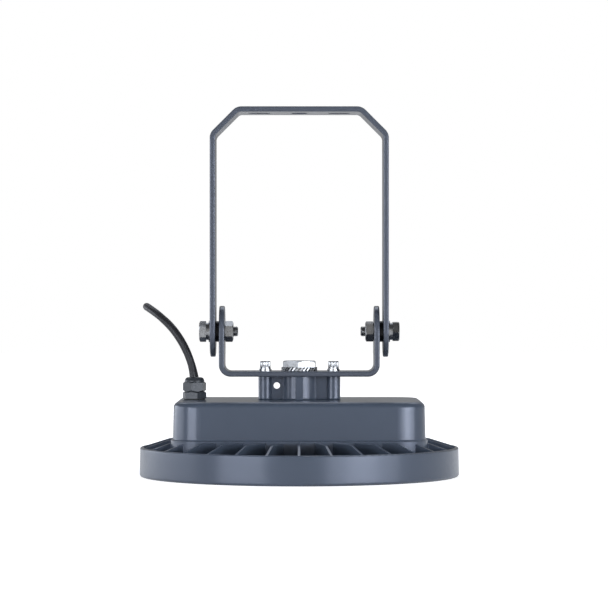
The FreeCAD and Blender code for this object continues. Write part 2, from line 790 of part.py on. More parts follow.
def tapped_holes(body):
    """The threaded holes and the clearance hole for the gland."""
    entry = sketch_on(body, "XY_Plane", "hub_entry_outline", hub_top)
    circle(entry, 0.0, 0.0, size.plug_diameter / 2)
    pocket(body, entry, "hub_entry", size.hub_height + size.roof_thickness)
    hub_screws = sketch_on(body, "XY_Plane", "hub_screw_outline", hub_top)
    for side in (-1, 1):
        circle(hub_screws, side * size.hub_screw_offset, 0.0, size.cap_screw_diameter / 2)
    pocket(body, hub_screws, "hub_screw_holes", size.hub_screw_depth)
    gland = sketch_on(body, "XY_Plane", "gland_outline", size.box_top)
    circle(gland, gland_x, 0.0, (size.gland_thread_diameter + size.hole_gap) / 2)
    pocket(body, gland, "gland_hole", size.roof_thickness)
    plate = sketch_on(body, "XY_Plane", "plate_screw_outline", size.deck_underside)
    circle(plate, *first_plate_screw(), size.plate_screw_diameter / 2)
    hole = pocket(body, plate, "plate_screw_hole", size.plate_screw_length, backwards=True)
    around(body, [hole], "plate_screw_holes", size.led_plate_screw_count)
    ring = sketch_on(body, "XY_Plane", "ring_screw_outline", size.lens_underside)
    circle(ring, ring_screw_radius, 0.0, size.plate_screw_diameter / 2)
    hole = pocket(body, ring, "ring_screw_hole", size.ring_screw_length, backwards=True)
    around(body, [hole], "ring_screw_holes", size.front_ring_screw_count)
    driver = sketch_on(body, "XY_Plane", "driver_screw_outline", driver_top)
    for across in (-1, 1):
        for along in (-1, 1):
            circle(driver, driver_centre + along * driver_screw_reach,
                   across * size.driver_screw_spacing / 2, size.plate_screw_diameter / 2)
    pocket(
        body, driver, "driver_screw_holes", size.driver_boss_height + size.roof_thickness / 2, backwards=True
    )
    terminal = sketch_on(body, "XY_Plane", "terminal_screw_outline", terminal_top)
    circle(terminal, terminal_x, size.terminal_offset, size.small_screw_diameter / 2)
    pocket(
        body, terminal, "terminal_screw_hole", size.terminal_boss_height + size.roof_thickness / 2,
        backwards=True,
    )


# Light engine and its cover


def screw_positions_cut(body, name, foot, depth, radius, x, y, count):
    """A round hole at one place, repeated about Z."""
    sketch = sketch_on(body, "XY_Plane", f"{name}_outline", foot)
    circle(sketch, x, y, radius)
    hole = pocket(body, sketch, name, depth, backwards=True)
    return around(body, [hole], f"{name}s", count)


def led_plate():
    """The aluminium plate that closes the box and carries the board."""
    body = new_body("led_plate")
    plan = sketch_on(body, "XY_Plane", "plate_plan", led_plate_underside)
    circle(plan, 0.0, 0.0, led_plate_radius)
    pad(body, plan, "plate", size.led_plate_thickness)
    screw_positions_cut(
        body, "fixing_hole", led_plate_underside, size.led_plate_thickness,
        (size.plate_screw_diameter + size.hole_gap) / 2, *first_plate_screw(), size.led_plate_screw_count,
    )
    bevel_edges(
        body, "countersinks", size.countersink_depth,
        lambda edge: level_edge(edge, led_plate_underside)
        and is_circle(edge, (size.plate_screw_diameter + size.hole_gap) / 2),
    )
    leads = sketch_on(body, "XY_Plane", "lead_hole_outline", led_plate_underside)
    circle(leads, lead_hole_x, 0.0, size.lead_hole_diameter / 2)
    pocket(body, leads, "lead_hole", size.led_plate_thickness, backwards=True)
    board_screw_cut(body, led_plate_underside, size.led_plate_thickness, size.small_screw_diameter / 2)
    return body


def board_screw_cut(body, foot, depth, radius):
    angle = math.radians(180.0 / size.board_screw_count)
    screw_positions_cut(
        body, "board_screw_hole", foot, depth, radius,
        board_screw_circle * math.cos(angle), board_screw_circle * math.sin(angle), size.board_screw_count,
    )


def led_board():
    body = new_body("led_board")
    plan = sketch_on(body, "XY_Plane", "board_plan", led_board_underside)
    circle(plan, 0.0, 0.0, led_board_radius)
    pad(body, plan, "board", size.led_board_thickness)
    leads = sketch_on(body, "XY_Plane", "lead_hole_outline", led_board_underside)
    circle(leads, lead_hole_x, 0.0, size.lead_hole_diameter / 2)
    pocket(body, leads, "lead_hole", size.led_board_thickness, backwards=True)
    board_screw_cut(
        body, led_board_underside, size.led_board_thickness, (size.small_screw_diameter + size.hole_gap) / 2
    )
    return body


def led_circles():
    """The radius of each circle of LEDs and how many it holds, from the outermost inwards."""
    rings = int(size.led_rings)
    for index in range(rings):
        count = size.led_count_inner + (rings - 1 - index) * size.led_count_step
        yield index, outer_led_radius - index * size.led_ring_spacing, count


def led_chips():
    body = new_body("led_chips")
    half = size.led_width / 2
    for index, radius, count in led_circles():
        plan = sketch_on(body, "XY_Plane", f"chip_plan_{index}", led_board_underside - size.led_height)
        outline(plan, rectangle_corners(radius - half, radius + half, -half, half))
        chip = pad(body, plan, f"chip_{index}", size.led_height)
        around(body, [chip], f"chips_{index}", count)
    half_step = 180.0 / (size.led_count_inner + (size.led_rings - 1) * size.led_count_step)
    place(body, turn=half_step)
    return body


def lens_cover():
    """The clear cover, with a shallow dome under each LED."""
    body = new_body("lens_cover")
    turned(body, "disc", [
        (0.0, size.lens_underside),
        (lens_radius, size.lens_underside),
        (lens_radius, lens_top),
        (0.0, lens_top),
    ])
    crown = size.lens_underside - size.dome_depth
    for index, radius, count in led_circles():
        dome = turned(body, f"dome_{index}", [
            (radius, size.lens_underside + size.lens_thickness / 2),
            (radius, crown),
            (radius + size.dome_crown_radius, crown, size.dome_rounding),
            (radius + size.dome_radius, size.lens_underside),
            (radius + size.dome_radius, size.lens_underside + size.lens_thickness / 2),
        ], axis_x=radius)
        around(body, [dome], f"domes_{index}", count)
    half_step = 180.0 / (size.led_count_inner + (size.led_rings - 1) * size.led_count_step)
    place(body, turn=half_step)
    return body


def lens_gasket():
    body = new_body("lens_gasket")
    turned(body, "strip", [
        (lens_radius - size.gasket_width, lens_top),
        (lens_radius, lens_top),
        (lens_radius, led_plate_underside),
        (lens_radius - size.gasket_width, led_plate_underside),
    ])
    return body


def front_ring():
    """The ring that holds the cover against its gasket, screwed to the casting from below."""
    body = new_body("front_ring")
    inner = lens_radius - size.front_ring_overlap
    turned(body, "ring", [
        (inner + size.front_ring_bevel, front_ring_underside),
        (ring_inner_radius - size.front_ring_gap, front_ring_underside),
        (ring_inner_radius - size.front_ring_gap, size.lens_underside),
        (inner, size.lens_underside),
        (inner, front_ring_underside + size.front_ring_bevel),
    ])
    hole_radius = (size.plate_screw_diameter + size.hole_gap) / 2
    screw_positions_cut(
        body, "screw_hole", front_ring_underside, size.front_ring_thickness,
        hole_radius, ring_screw_radius, 0.0, size.front_ring_screw_count,
    )
    bevel_edges(
        body, "countersinks", size.countersink_depth,
        lambda edge: level_edge(edge, front_ring_underside) and is_circle(edge, hole_radius),
    )
    return body


def countersunk_screws(label, face, length, radius, count, first_angle=0.0):
    """Flat-headed screws that point up from a face, spaced round Z."""
    body = new_body(label)
    thread = (size.plate_screw_diameter - size.thread_gap) / 2
    head = thread + size.countersink_depth
    screw = turned(body, "screw", [
        (radius, face),
        (radius + head, face),
        (radius + thread, face + size.countersink_depth),
        (radius + thread, face + length),
        (radius, face + length),
    ], axis_x=radius)
    recess = sketch_on(body, "XY_Plane", "recess_outline", face)
    outline(recess, hexagon_corners(size.recess_across_flats, radius))
    drive = pocket(body, recess, "recess", size.recess_depth, backwards=True)
    around(body, [screw, drive], "screws", count)
    place(body, turn=first_angle)
    return body


def led_board_screws():
    body = new_body("led_board_screws")
    thread = (size.small_screw_diameter - size.thread_gap) / 2
    foot = led_board_underside - size.small_screw_head_height
    screw = turned(body, "screw", [
        (board_screw_circle, foot),
        (board_screw_circle + size.small_screw_head_diameter / 2, foot, size.small_screw_head_height / 3),
        (board_screw_circle + size.small_screw_head_diameter / 2, led_board_underside),
        (board_screw_circle + thread, led_board_underside),
        (board_screw_circle + thread, led_board_underside + size.small_screw_length),
        (board_screw_circle, led_board_underside + size.small_screw_length),
    ], axis_x=board_screw_circle)
    around(body, [screw], "screws", size.board_screw_count)
    place(body, turn=180.0 / size.board_screw_count)
    return body


# Driver and wiring inside the box


def driver():
    """The sealed driver: a potted pack with a fixing flange at each end."""
    body = new_body("driver")
    half = size.driver_length / 2
    plan = sketch_on(body, "XY_Plane", "pack_plan", -size.driver_height)
    outline(plan, centred_corners(half, size.driver_width / 2, size.driver_rounding))
    pad(body, plan, "pack", size.driver_height)
    flanges = sketch_on(body, "XY_Plane", "flange_plan", -size.driver_flange_thickness)
    flange_y = size.driver_width / 2 - size.driver_flange_inset
    outline(flanges, centred_corners(half + size.driver_flange_length, flange_y, size.driver_rounding))
    pad(body, flanges, "flanges", size.driver_flange_thickness)
    holes = sketch_on(body, "XY_Plane", "flange_hole_outline", -size.driver_flange_thickness)
    for across in (-1, 1):
        for along in (-1, 1):
            circle(holes, along * driver_screw_reach, across * size.driver_screw_spacing / 2,
                   (size.plate_screw_diameter + size.hole_gap) / 2)
    pocket(body, holes, "flange_holes", size.driver_flange_thickness, backwards=True)
    place(body, x=driver_centre, z=driver_top)
    return body


def driver_screws():
    body = new_body("driver_screws")
    head_top = -size.driver_flange_thickness
    heads = sketch_on(body, "XY_Plane", "head_plan", head_top - size.pan_head_height)
    threads = sketch_on(body, "XY_Plane", "thread_plan", head_top - size.pan_head_height / 2)
    for across in (-1, 1):
        for along in (-1, 1):
            x = along * driver_screw_reach
            y = across * size.driver_screw_spacing / 2
            circle(heads, x, y, size.pan_head_diameter / 2)
            circle(threads, x, y, (size.plate_screw_diameter - size.thread_gap) / 2)
    pad(body, heads, "heads", size.pan_head_height)
    pad(body, threads, "threads", size.pan_head_height / 2 + size.plate_screw_length)
    round_edges(
        body, "head_rounding", size.pan_head_height / 3,
        lambda edge: level_edge(edge, head_top - size.pan_head_height),
    )
    place(body, x=driver_centre, z=driver_top)
    return body


def terminal_block():
    """A three-way terminal block, its wells open below."""
    body = new_body("terminal_block")
    plan = sketch_on(body, "XY_Plane", "block_plan", -size.terminal_height)
    outline(plan, centred_corners(size.terminal_width / 2, size.terminal_length / 2))
    pad(body, plan, "block", size.terminal_height)
    wells = sketch_on(body, "XY_Plane", "well_plan", -size.terminal_height)
    for way in (-1, 0, 1):
        for side in (-1, 1):
            circle(
                wells, side * size.terminal_width / 4, way * size.terminal_pitch,
                size.terminal_well_diameter / 2,
            )
    pocket(body, wells, "wells", size.terminal_well_depth, backwards=True)
    fixing = sketch_on(body, "XY_Plane", "fixing_hole_outline", -size.terminal_height)
    circle(fixing, 0.0, 0.0, (size.small_screw_diameter + size.hole_gap) / 2)
    pocket(body, fixing, "fixing_hole", size.terminal_height, backwards=True)
    place(body, x=terminal_x, y=size.terminal_offset, z=terminal_top)
    return body


def terminal_screw():
    body = new_body("terminal_screw")
    foot = -size.terminal_height - size.small_screw_head_height
    thread = (size.small_screw_diameter - size.thread_gap) / 2
    turned(body, "screw", [
        (0.0, foot),
        (size.small_screw_head_diameter / 2, foot, size.small_screw_head_height / 3),
        (size.small_screw_head_diameter / 2, -size.terminal_height),
        (thread, -size.terminal_height),
        (thread, size.terminal_boss_height),
        (0.0, size.terminal_boss_height),
    ])
    place(body, x=terminal_x, y=size.terminal_offset, z=terminal_top)
    return body


def lead_grommet():
    """The rubber grommet where the leads go through the plate."""
    body = new_body("lead_grommet")
    outer = (size.lead_hole_diameter - size.thread_gap) / 2
    flange = outer + size.grommet_flange_width
    flange_top = size.deck_underside + size.grommet_flange_thickness
    turned(body, "grommet", [
        (size.grommet_bore / 2, led_plate_underside),
        (outer, led_plate_underside),
        (outer, size.deck_underside),
        (flange, size.deck_underside),
        (flange, flange_top),
        (size.grommet_bore / 2, flange_top),
    ])
    place(body, x=lead_hole_x)
    return body


# Tubes that follow a route


def bend_sizes(points, bend):
    """For each inner point of a route: the turn there, the arc's radius and how much run it takes."""
    facts = []
    for before, point, after in zip(points, points[1:], points[2:]):
        turn = (point - before).getAngle(after - point)
        shorter = min((point - before).Length, (after - point).Length)
        if bend is None:
            taken = ARC_SHARE * shorter
        else:
            taken = float(bend) * math.tan(turn / 2)
        facts.append((turn, taken / math.tan(turn / 2), taken))
    return facts


def route_wire(points, bend=None):
    """Straight runs joined by tangent arcs. Without a bend radius each arc is as large as its runs allow."""
    edges = []
    start = points[0]
    for point, following, (turn, radius, taken) in zip(points[1:], points[2:], bend_sizes(points, bend)):
        back = unit_towards(point, start)
        ahead = unit_towards(point, following)
        first = point + back * taken
        last = point + ahead * taken
        inward = back + ahead
        inward.normalize()
        middle = point + inward * (radius / math.cos(turn / 2) - radius)
        edges.append(Part.LineSegment(start, first).toShape())
        edges.append(Part.Arc(first, middle, last).toShape())
        start = last
    edges.append(Part.LineSegment(start, points[-1]).toShape())
    return Part.Wire(edges)


def tube_along(points, diameter, bend=None):
    """A solid round tube along a route, and its length."""
    path = route_wire(points, bend)
    start = unit_towards(points[0], points[1])
    section = Part.Wire([Part.Circle(points[0], start, float(diameter) / 2).toShape()])
    solid = path.makePipeShell([section], True, False)
    ideal = math.pi * float(diameter) ** 2 / 4 * path.Length
    if abs(solid.Volume / ideal - 1) > 0.01:
        raise ValueError("a tube's volume is not its section times its length")
    return solid, path.Length


def shape_part(label, solids):
    """A sub-part whose solids come from sweeps, which the sheet's numbers went into."""
    item = doc.addObject("Part::Feature", label)
    item.Label = label
    item.Shape = solids[0] if len(solids) == 1 else Part.Compound(solids)
    item.Placement = FreeCAD.Placement()
    sub_parts.append(item)
    return item


def vectors(points):
    return [FreeCAD.Vector(*(float(number) for number in point)) for point in points]


def supply_cord():
    points = vectors(CORD_ROUTE)
    solid, length = tube_along(points, size.cord_diameter)
    for index, (turn, radius, _) in enumerate(bend_sizes(points, None), 1):
        print(f"cord point {index}: turn {math.degrees(turn):.1f} degrees, radius {radius:.1f} mm")
    print(f"cord length {length:.1f} mm")
    return shape_part("supply_cord", [solid])


def stripped_cores():
    """The three cores at the cord's free end, with a ferrule crimped on each."""
    ferrules = []
    for label, route in CORE_ROUTES.items():
        points = vectors(route)
        solid, _ = tube_along(points, size.core_diameter)
        shape_part(label, [solid])
        out = unit_towards(points[-2], points[-1])
        collar = Part.makeCylinder(
            size.ferrule_collar_diameter / 2, size.ferrule_collar_length, points[-1], out
        )
        length = size.ferrule_collar_length + size.ferrule_pin_length
        pin = Part.makeCylinder(size.ferrule_pin_diameter / 2, length, points[-1], out)
        ferrules.append(collar.fuse(pin).Solids[0])
    shape_part("core_ferrules", ferrules)


def inner_cores():
    """The cord's cores inside the box, from the gland to the terminal block."""
    solids = []
    block_face = size.terminal_offset - size.terminal_length / 2
    entry_height = terminal_top - size.terminal_height / 2
    start_height = CORD_ROUTE[0][2]
    for way in (-1, 0, 1):
        start_x = gland_x + way * size.lead_spacing
        end_x = terminal_x + way * size.terminal_core_spacing
        points = vectors([
            (start_x, 0.0, start_height),
            (start_x, 0.0, entry_height),
            (end_x, block_face / 2, entry_height),
            (end_x, block_face, entry_height),
        ])
        solids.append(tube_along(points, size.core_diameter, size.core_bend_radius)[0])
    return shape_part("inner_cores", solids)


def driver_input_leads():
    """Leads from the terminal block to the driver."""
    solids = []
    block_side = terminal_x + size.terminal_width / 2
    driver_side = driver_centre - size.driver_length / 2
    high = terminal_top - size.terminal_height / 2
    low = high - size.input_lead_drop
    for way in (-1, 0, 1):
        block_y = size.terminal_offset + way * size.terminal_pitch
        driver_y = size.driver_width / 4 + way * size.lead_spacing
        third = (driver_side - block_side) / 3
        points = vectors([
            (block_side, block_y, high),
            (block_side + third, block_y, high),
            (driver_side - third, driver_y, low),
            (driver_side, driver_y, low),
        ])
        solids.append(tube_along(points, size.lead_diameter, size.lead_bend_radius)[0])
    return shape_part("driver_input_leads", solids)


def led_leads():
    """The two leads from the driver down through the plate to the board's pads."""
    solids = []
    driver_side = driver_centre + size.driver_length / 2
    height = driver_top - size.driver_height / 2
    pad_height = led_board_underside - size.lead_diameter / 2
    for side in (-1, 1):
        y = side * size.lead_spacing / 2
        points = vectors([
            (driver_side, y, height),
            (lead_hole_x, y, height),
            (lead_hole_x, y, pad_height),
            (lead_hole_x - size.lead_hole_diameter, y, pad_height),
        ])
        solids.append(tube_along(points, size.lead_diameter, size.lead_bend_radius)[0])
    return shape_part("led_leads", solids)


# Cable gland


def gland_gasket():
    body = new_body("gland_gasket")
    inner = (size.gland_thread_diameter + size.hole_gap) / 2
    turned(body, "ring", [
        (inner, 0.0),
        (size.gland_body_across_flats / 2, 0.0),
        (size.gland_body_across_flats / 2, size.gland_gasket_thickness),
        (inner, size.gland_gasket_thickness),
    ])
    place(body, x=gland_x, z=size.box_top)
    return body


def gland_body():
    """The gland's body: a hexagon, the thread below it and the collar for the nut above it."""
    body = new_body("gland_body")
    thread = (size.gland_thread_diameter - size.thread_gap) / 2
    collar_top = gland_body_top + size.gland_collar_length
    seal_seat = gland_body_top - size.gland_seal_depth
    seal = (size.gland_seal_diameter + size.thread_gap) / 2
    bevelled_hex(body, "hexagon", size.gland_body_across_flats, gland_seat, size.gland_body_height)
    turned(body, "threads", [
        (0.0, gland_thread_end),
        (thread, gland_thread_end),
        (thread, collar_top),
        (0.0, collar_top),
    ])
    turned_cut(body, "bore", [
        (0.0, gland_thread_end),
        (size.gland_mouth_diameter / 2, gland_thread_end),
        (size.gland_mouth_diameter / 2, seal_seat),
        (seal, seal_seat),
        (seal, collar_top),
        (0.0, collar_top),
    ])
    place(body, x=gland_x, turn=CLOCK["gland_body"])
    return body


def gland_seal():
    body = new_body("gland_seal")
    foot = gland_body_top - size.gland_seal_depth
    turned(body, "bush", [
        ((size.cord_diameter + size.cord_gap) / 2, foot),
        (size.gland_seal_diameter / 2, foot),
        (size.gland_seal_diameter / 2, gland_shoulder),
        ((size.cord_diameter + size.cord_gap) / 2, gland_shoulder),
    ])
    place(body, x=gland_x)
    return body


def gland_nut():
    """The domed nut that squeezes the seal round the cord."""
    body = new_body("gland_nut")
    dome_foot = size.gland_nut_across_flats / 2 - size.gland_dome_step
    top = gland_shoulder + size.gland_dome_height
    bevelled_hex(
        body, "hexagon", size.gland_nut_across_flats, gland_nut_foot, size.gland_nut_height, bevel_foot=True
    )
    turned(body, "dome", [
        (0.0, gland_shoulder),
        (dome_foot, gland_shoulder),
        (dome_foot - size.gland_dome_taper, top, size.gland_dome_rounding),
        (0.0, top),
    ])
    turned_cut(body, "bore", [
        (0.0, gland_nut_foot),
        (size.gland_thread_diameter / 2, gland_nut_foot),
        (size.gland_thread_diameter / 2, gland_shoulder),
        (size.gland_mouth_diameter / 2, gland_shoulder),
        (size.gland_mouth_diameter / 2, top),
        (0.0, top),
    ])
    place(body, x=gland_x, turn=CLOCK["gland_nut"])
    return body


def gland_locknut():
    body = new_body("gland_locknut")
    foot = roof_underside - size.gland_locknut_height
    bevelled_hex(body, "hexagon", size.gland_body_across_flats, foot, size.gland_locknut_height)
    turned_cut(body, "bore", [
        (0.0, foot),
        (size.gland_thread_diameter / 2, foot),
        (size.gland_thread_diameter / 2, roof_underside),
        (0.0, roof_underside),
    ])
    place(body, x=gland_x, turn=CLOCK["gland_locknut"])
    return body


# Bracket on the hub


def arm_end_edges(height):
    """Picks the corners of the arms' ends: short edges across the sheet at a height."""

    def chosen(edge):
        box = edge.BoundBox
        return level_edge(edge, height) and box.YLength < 0.01 and box.XLength < size.bracket_thickness * 2

    return chosen


def strap_rims(depth):
    """Picks the edges of a strap's front and back sides."""

    def chosen(edge):
        box = edge.BoundBox
        return box.YLength < 0.01 and near(abs(box.YMin), depth / 2)

    return chosen


def lamp_bracket():
    """The folded inner bracket: a U that opens upwards, with a pivot hole in each arm."""
    body = new_body("lamp_bracket")
    top = pivot_height + size.bracket_depth / 2
    inner_bend = size.bracket_bend_radius - size.bracket_thickness
    fold = sketch_on(body, "XZ_Plane", "fold")
    outline(fold, [
        (-bracket_half, hub_top, size.bracket_bend_radius),
        (bracket_half, hub_top, size.bracket_bend_radius),
        (bracket_half, top),
        (nut_face, top),
        (nut_face, bracket_top, inner_bend),
        (-nut_face, bracket_top, inner_bend),
        (-nut_face, top),
        (-bracket_half, top),
    ])
    pad(body, fold, "sheet", size.bracket_depth, symmetric=True)
    round_edges(body, "arm_ends", size.arm_end_radius, arm_end_edges(top))
    round_edges(body, "strap_edges", size.strap_edge_rounding, strap_rims(size.bracket_depth))
    pivot_holes(body, size.bracket_width * 2)
    holes = sketch_on(body, "XY_Plane", "base_holes", hub_top)
    circle(holes, 0.0, 0.0, (size.plug_diameter + size.hole_gap) / 2)
    for side in (-1, 1):
        circle(holes, side * size.hub_screw_offset, 0.0, (size.cap_screw_diameter + size.hole_gap) / 2)
    pocket(body, holes, "hub_holes", size.bracket_thickness, backwards=True)
    return body


def pivot_holes(body, across):
    sketch = sketch_on(body, "YZ_Plane", "pivot_outline")
    circle(sketch, 0.0, pivot_height, (size.pivot_diameter + size.hole_gap) / 2)
    pocket(body, sketch, "pivot_holes", across, symmetric=True)


def hub_plug():
    """The large hexagonal plug screwed into the hub, which clamps the bracket."""
    body = new_body("hub_plug")
    head_foot = bracket_top + size.lock_washer_height
    thread = (size.plug_diameter - size.thread_gap) / 2
    bevelled_hex(body, "head", size.plug_across_flats, head_foot, size.plug_head_height)
    stem = sketch_on(body, "XY_Plane", "stem_plan", head_foot - size.plug_length)
    circle(stem, 0.0, 0.0, thread)
    pad(body, stem, "stem", size.plug_length)
    bevel_edges(
        body, "stem_end", size.screw_end_bevel, lambda edge: level_edge(edge, head_foot - size.plug_length)
    )
    place(body, turn=CLOCK["hub_plug"])
    return body


def hub_lock_washer():
    """The washer under the plug, with twisted teeth all round."""
    body = new_body("hub_lock_washer")
    middle = bracket_top + size.lock_washer_height / 2
    half_sheet = size.lock_washer_sheet / 2
    inner = (size.plug_diameter + size.hole_gap) / 2
    turned(body, "rim", [
        (inner, middle - half_sheet),
        (size.lock_washer_rim_radius, middle - half_sheet),
        (size.lock_washer_rim_radius, middle + half_sheet),
        (inner, middle + half_sheet),
    ])
    twist = math.radians(size.lock_washer_twist)
    across = (math.cos(twist), math.sin(twist))
    upright = (-math.sin(twist), math.cos(twist))
    half_width = (size.lock_washer_height - size.lock_washer_sheet * math.cos(twist)) / math.sin(twist) / 2
    tooth = sketch_on(body, "YZ_Plane", "tooth_section", size.lock_washer_rim_radius - size.root_depth)
    corners = []
    for along, above in ((-1, -1), (1, -1), (1, 1), (-1, 1)):
        corners.append((
            along * half_width * across[0] + above * half_sheet * upright[0],
            middle + along * half_width * across[1] + above * half_sheet * upright[1],
        ))
    outline(tooth, corners)
    first = pad(body, tooth, "tooth", size.lock_washer_tooth_length + size.root_depth)
    around(body, [first], "teeth", size.lock_washer_tooth_count)
    return body


def washers(label, foot, inner_diameter, outer_diameter, thickness, slit=None):
    """Two flat or split washers, one over each hub screw."""
    body = new_body(label)
    plan = sketch_on(body, "XY_Plane", "washer_plan", foot)
    for side in (-1, 1):
        circle(plan, side * size.hub_screw_offset, 0.0, outer_diameter / 2)
        circle(plan, side * size.hub_screw_offset, 0.0, inner_diameter / 2)
    pad(body, plan, "washers", thickness)
    if slit is not None:
        gap = sketch_on(body, "XZ_Plane", "slit_outline")
        lean = thickness / 2
        for side in (-1, 1):
            centre = side * size.hub_screw_offset
            outline(gap, [
                (centre - slit / 2 - lean, foot),
                (centre + slit / 2 - lean, foot),
                (centre + slit / 2 + lean, foot + thickness),
                (centre - slit / 2 + lean, foot + thickness),
            ])
        pocket(body, gap, "slits", outer_diameter)
    return body


def bracket_screws():
    """The two socket cap screws that hold the bracket on the hub."""
    body = new_body("bracket_screws")
    head_foot = bracket_top + size.cap_washer_thickness + size.cap_spring_thickness
    head_top = head_foot + size.cap_head_height
    heads = sketch_on(body, "XY_Plane", "head_plan", head_foot)
    threads = sketch_on(body, "XY_Plane", "thread_plan", head_foot - size.cap_screw_length)
    sockets = sketch_on(body, "XY_Plane", "socket_outline", head_top)
    for side in (-1, 1):
        x = side * size.hub_screw_offset
        circle(heads, x, 0.0, size.cap_head_diameter / 2)
        circle(threads, x, 0.0, (size.cap_screw_diameter - size.thread_gap) / 2)
        outline(sockets, hexagon_corners(size.cap_socket_across_flats, x))
    pad(body, heads, "heads", size.cap_head_height)
    round_edges(
        body, "head_edges", size.cap_head_height / 10,
        lambda edge: level_edge(edge, head_top),
    )
    pad(body, threads, "threads", size.cap_screw_length)
    pocket(body, sockets, "sockets", size.cap_socket_depth)
    return body


# Yoke


def yoke():
    """The outer yoke: a folded strap with cut-off corners, slots on top and round ends at the pivots."""
    body = new_body("yoke")
    foot = pivot_height - size.yoke_depth / 2
    thickness = size.yoke_thickness
    cut = size.yoke_corner_cut
    inner_cut = cut - thickness * (2 - math.sqrt(2))
    outer_bend = size.yoke_bend_radius
    inner_bend = size.yoke_bend_radius - thickness
    fold = sketch_on(body, "XZ_Plane", "fold")
    outline(fold, [
        (-yoke_outer_half, foot),
        (-yoke_inner_half, foot),
        (-yoke_inner_half, yoke_top - thickness - inner_cut, inner_bend),
        (-yoke_inner_half + inner_cut, yoke_top - thickness, inner_bend),
        (yoke_inner_half - inner_cut, yoke_top - thickness, inner_bend),
        (yoke_inner_half, yoke_top - thickness - inner_cut, inner_bend),
        (yoke_inner_half, foot),
        (yoke_outer_half, foot),
        (yoke_outer_half, yoke_top - cut, outer_bend),
        (yoke_outer_half - cut, yoke_top, outer_bend),
        (-yoke_outer_half + cut, yoke_top, outer_bend),
        (-yoke_outer_half, yoke_top - cut, outer_bend),
    ])
    pad(body, fold, "strap", size.yoke_depth, symmetric=True)
    round_edges(body, "arm_ends", size.arm_end_radius, arm_end_edges(foot))
    round_edges(body, "strap_edges", size.strap_edge_rounding, strap_rims(size.yoke_depth))
    pivot_holes(body, yoke_outer_half * 4)
    holes = sketch_on(body, "XY_Plane", "top_holes", yoke_top)
    circle(holes, 0.0, 0.0, size.yoke_centre_hole_diameter / 2)
    for side in (-1, 1):
        slot(holes, side * size.yoke_slot_offset, size.yoke_slot_length, size.yoke_slot_width)
    pocket(body, holes, "mounting_holes", thickness)
    return body


# Pivots: each piece is drawn about Z at its distance from the lamp's middle and then laid along X


def lay_on_side(body, side):
    """Turns a piece so that its Z axis points to one side of the lamp, at the pivot's height."""
    outwards = FreeCAD.Rotation(FreeCAD.Vector(0, 0, 1), FreeCAD.Vector(side, 0, 0))
    about_self = FreeCAD.Rotation(FreeCAD.Vector(0, 0, 1), CLOCK.get(body.Label, 0.0))
    body.Placement = FreeCAD.Placement(FreeCAD.Vector(0, 0, pivot_height), outwards.multiply(about_self))
    body.setExpression("Placement.Base.z", pivot_height.formula)


def pivot_ring(label, foot, thickness, inner_radius, outer_radius):
    body = new_body(label)
    turned(body, "ring", [
        (inner_radius, foot),
        (outer_radius, foot),
        (outer_radius, foot + thickness),
        (inner_radius, foot + thickness),
    ])
    return body


def pivot_spring_washer(label):
    """A split washer: a ring with a slanting slit."""
    inner = (size.pivot_diameter + size.hole_gap) / 2
    outer = size.pivot_spring_diameter / 2
    body = pivot_ring(label, washer_face, size.pivot_spring_thickness, inner, outer)
    slit = sketch_on(body, "YZ_Plane", "slit_outline")
    half = size.spring_slit / 2
    lean = size.pivot_spring_thickness / 4
    outline(slit, [
        (-half - lean, washer_face),
        (half - lean, washer_face),
        (half + lean, bolt_head_face),
        (-half + lean, bolt_head_face),
    ])
    pocket(body, slit, "slit", outer * 2, backwards=True)
    return body


def pivot_bolt(label):
    body = new_body(label)
    bevelled_hex(body, "head", size.pivot_across_flats, bolt_head_face, size.pivot_head_height)
    thread = sketch_on(body, "XY_Plane", "thread_plan", bolt_head_face - size.pivot_bolt_length)
    circle(thread, 0.0, 0.0, (size.pivot_diameter - size.thread_gap) / 2)
    pad(body, thread, "thread", size.pivot_bolt_length)
    bevel_edges(
        body, "thread_end", size.screw_end_bevel,
        lambda edge: level_edge(edge, bolt_head_face - size.pivot_bolt_length),
    )
    return body


def pivot_nut(label):
    body = new_body(label)
    foot = nut_face - size.pivot_nut_height
    bevelled_hex(
        body, "nut", size.pivot_across_flats, foot, size.pivot_nut_height, bevel_foot=True
    )
    bore = sketch_on(body, "XY_Plane", "bore_outline", foot)
    circle(bore, 0.0, 0.0, size.pivot_diameter / 2)
    pocket(body, bore, "bore", size.pivot_nut_height, backwards=True)
    return body


def pivots():
    shank = (size.pivot_diameter + size.hole_gap) / 2
    for name, side in (("left", -1), ("right", 1)):
        lay_on_side(pivot_ring(
            f"{name}_pivot_spacer", bracket_half, size.spacer_thickness, shank, size.spacer_diameter / 2,
        ), side)
        lay_on_side(pivot_ring(
            f"{name}_pivot_washer", yoke_outer_half, size.pivot_washer_thickness, shank,
            size.pivot_washer_diameter / 2,
        ), side)
        lay_on_side(pivot_spring_washer(f"{name}_pivot_spring_washer"), side)
        lay_on_side(pivot_bolt(f"{name}_pivot_bolt"), side)
        lay_on_side(pivot_nut(f"{name}_pivot_nut"), side)


# The whole lamp


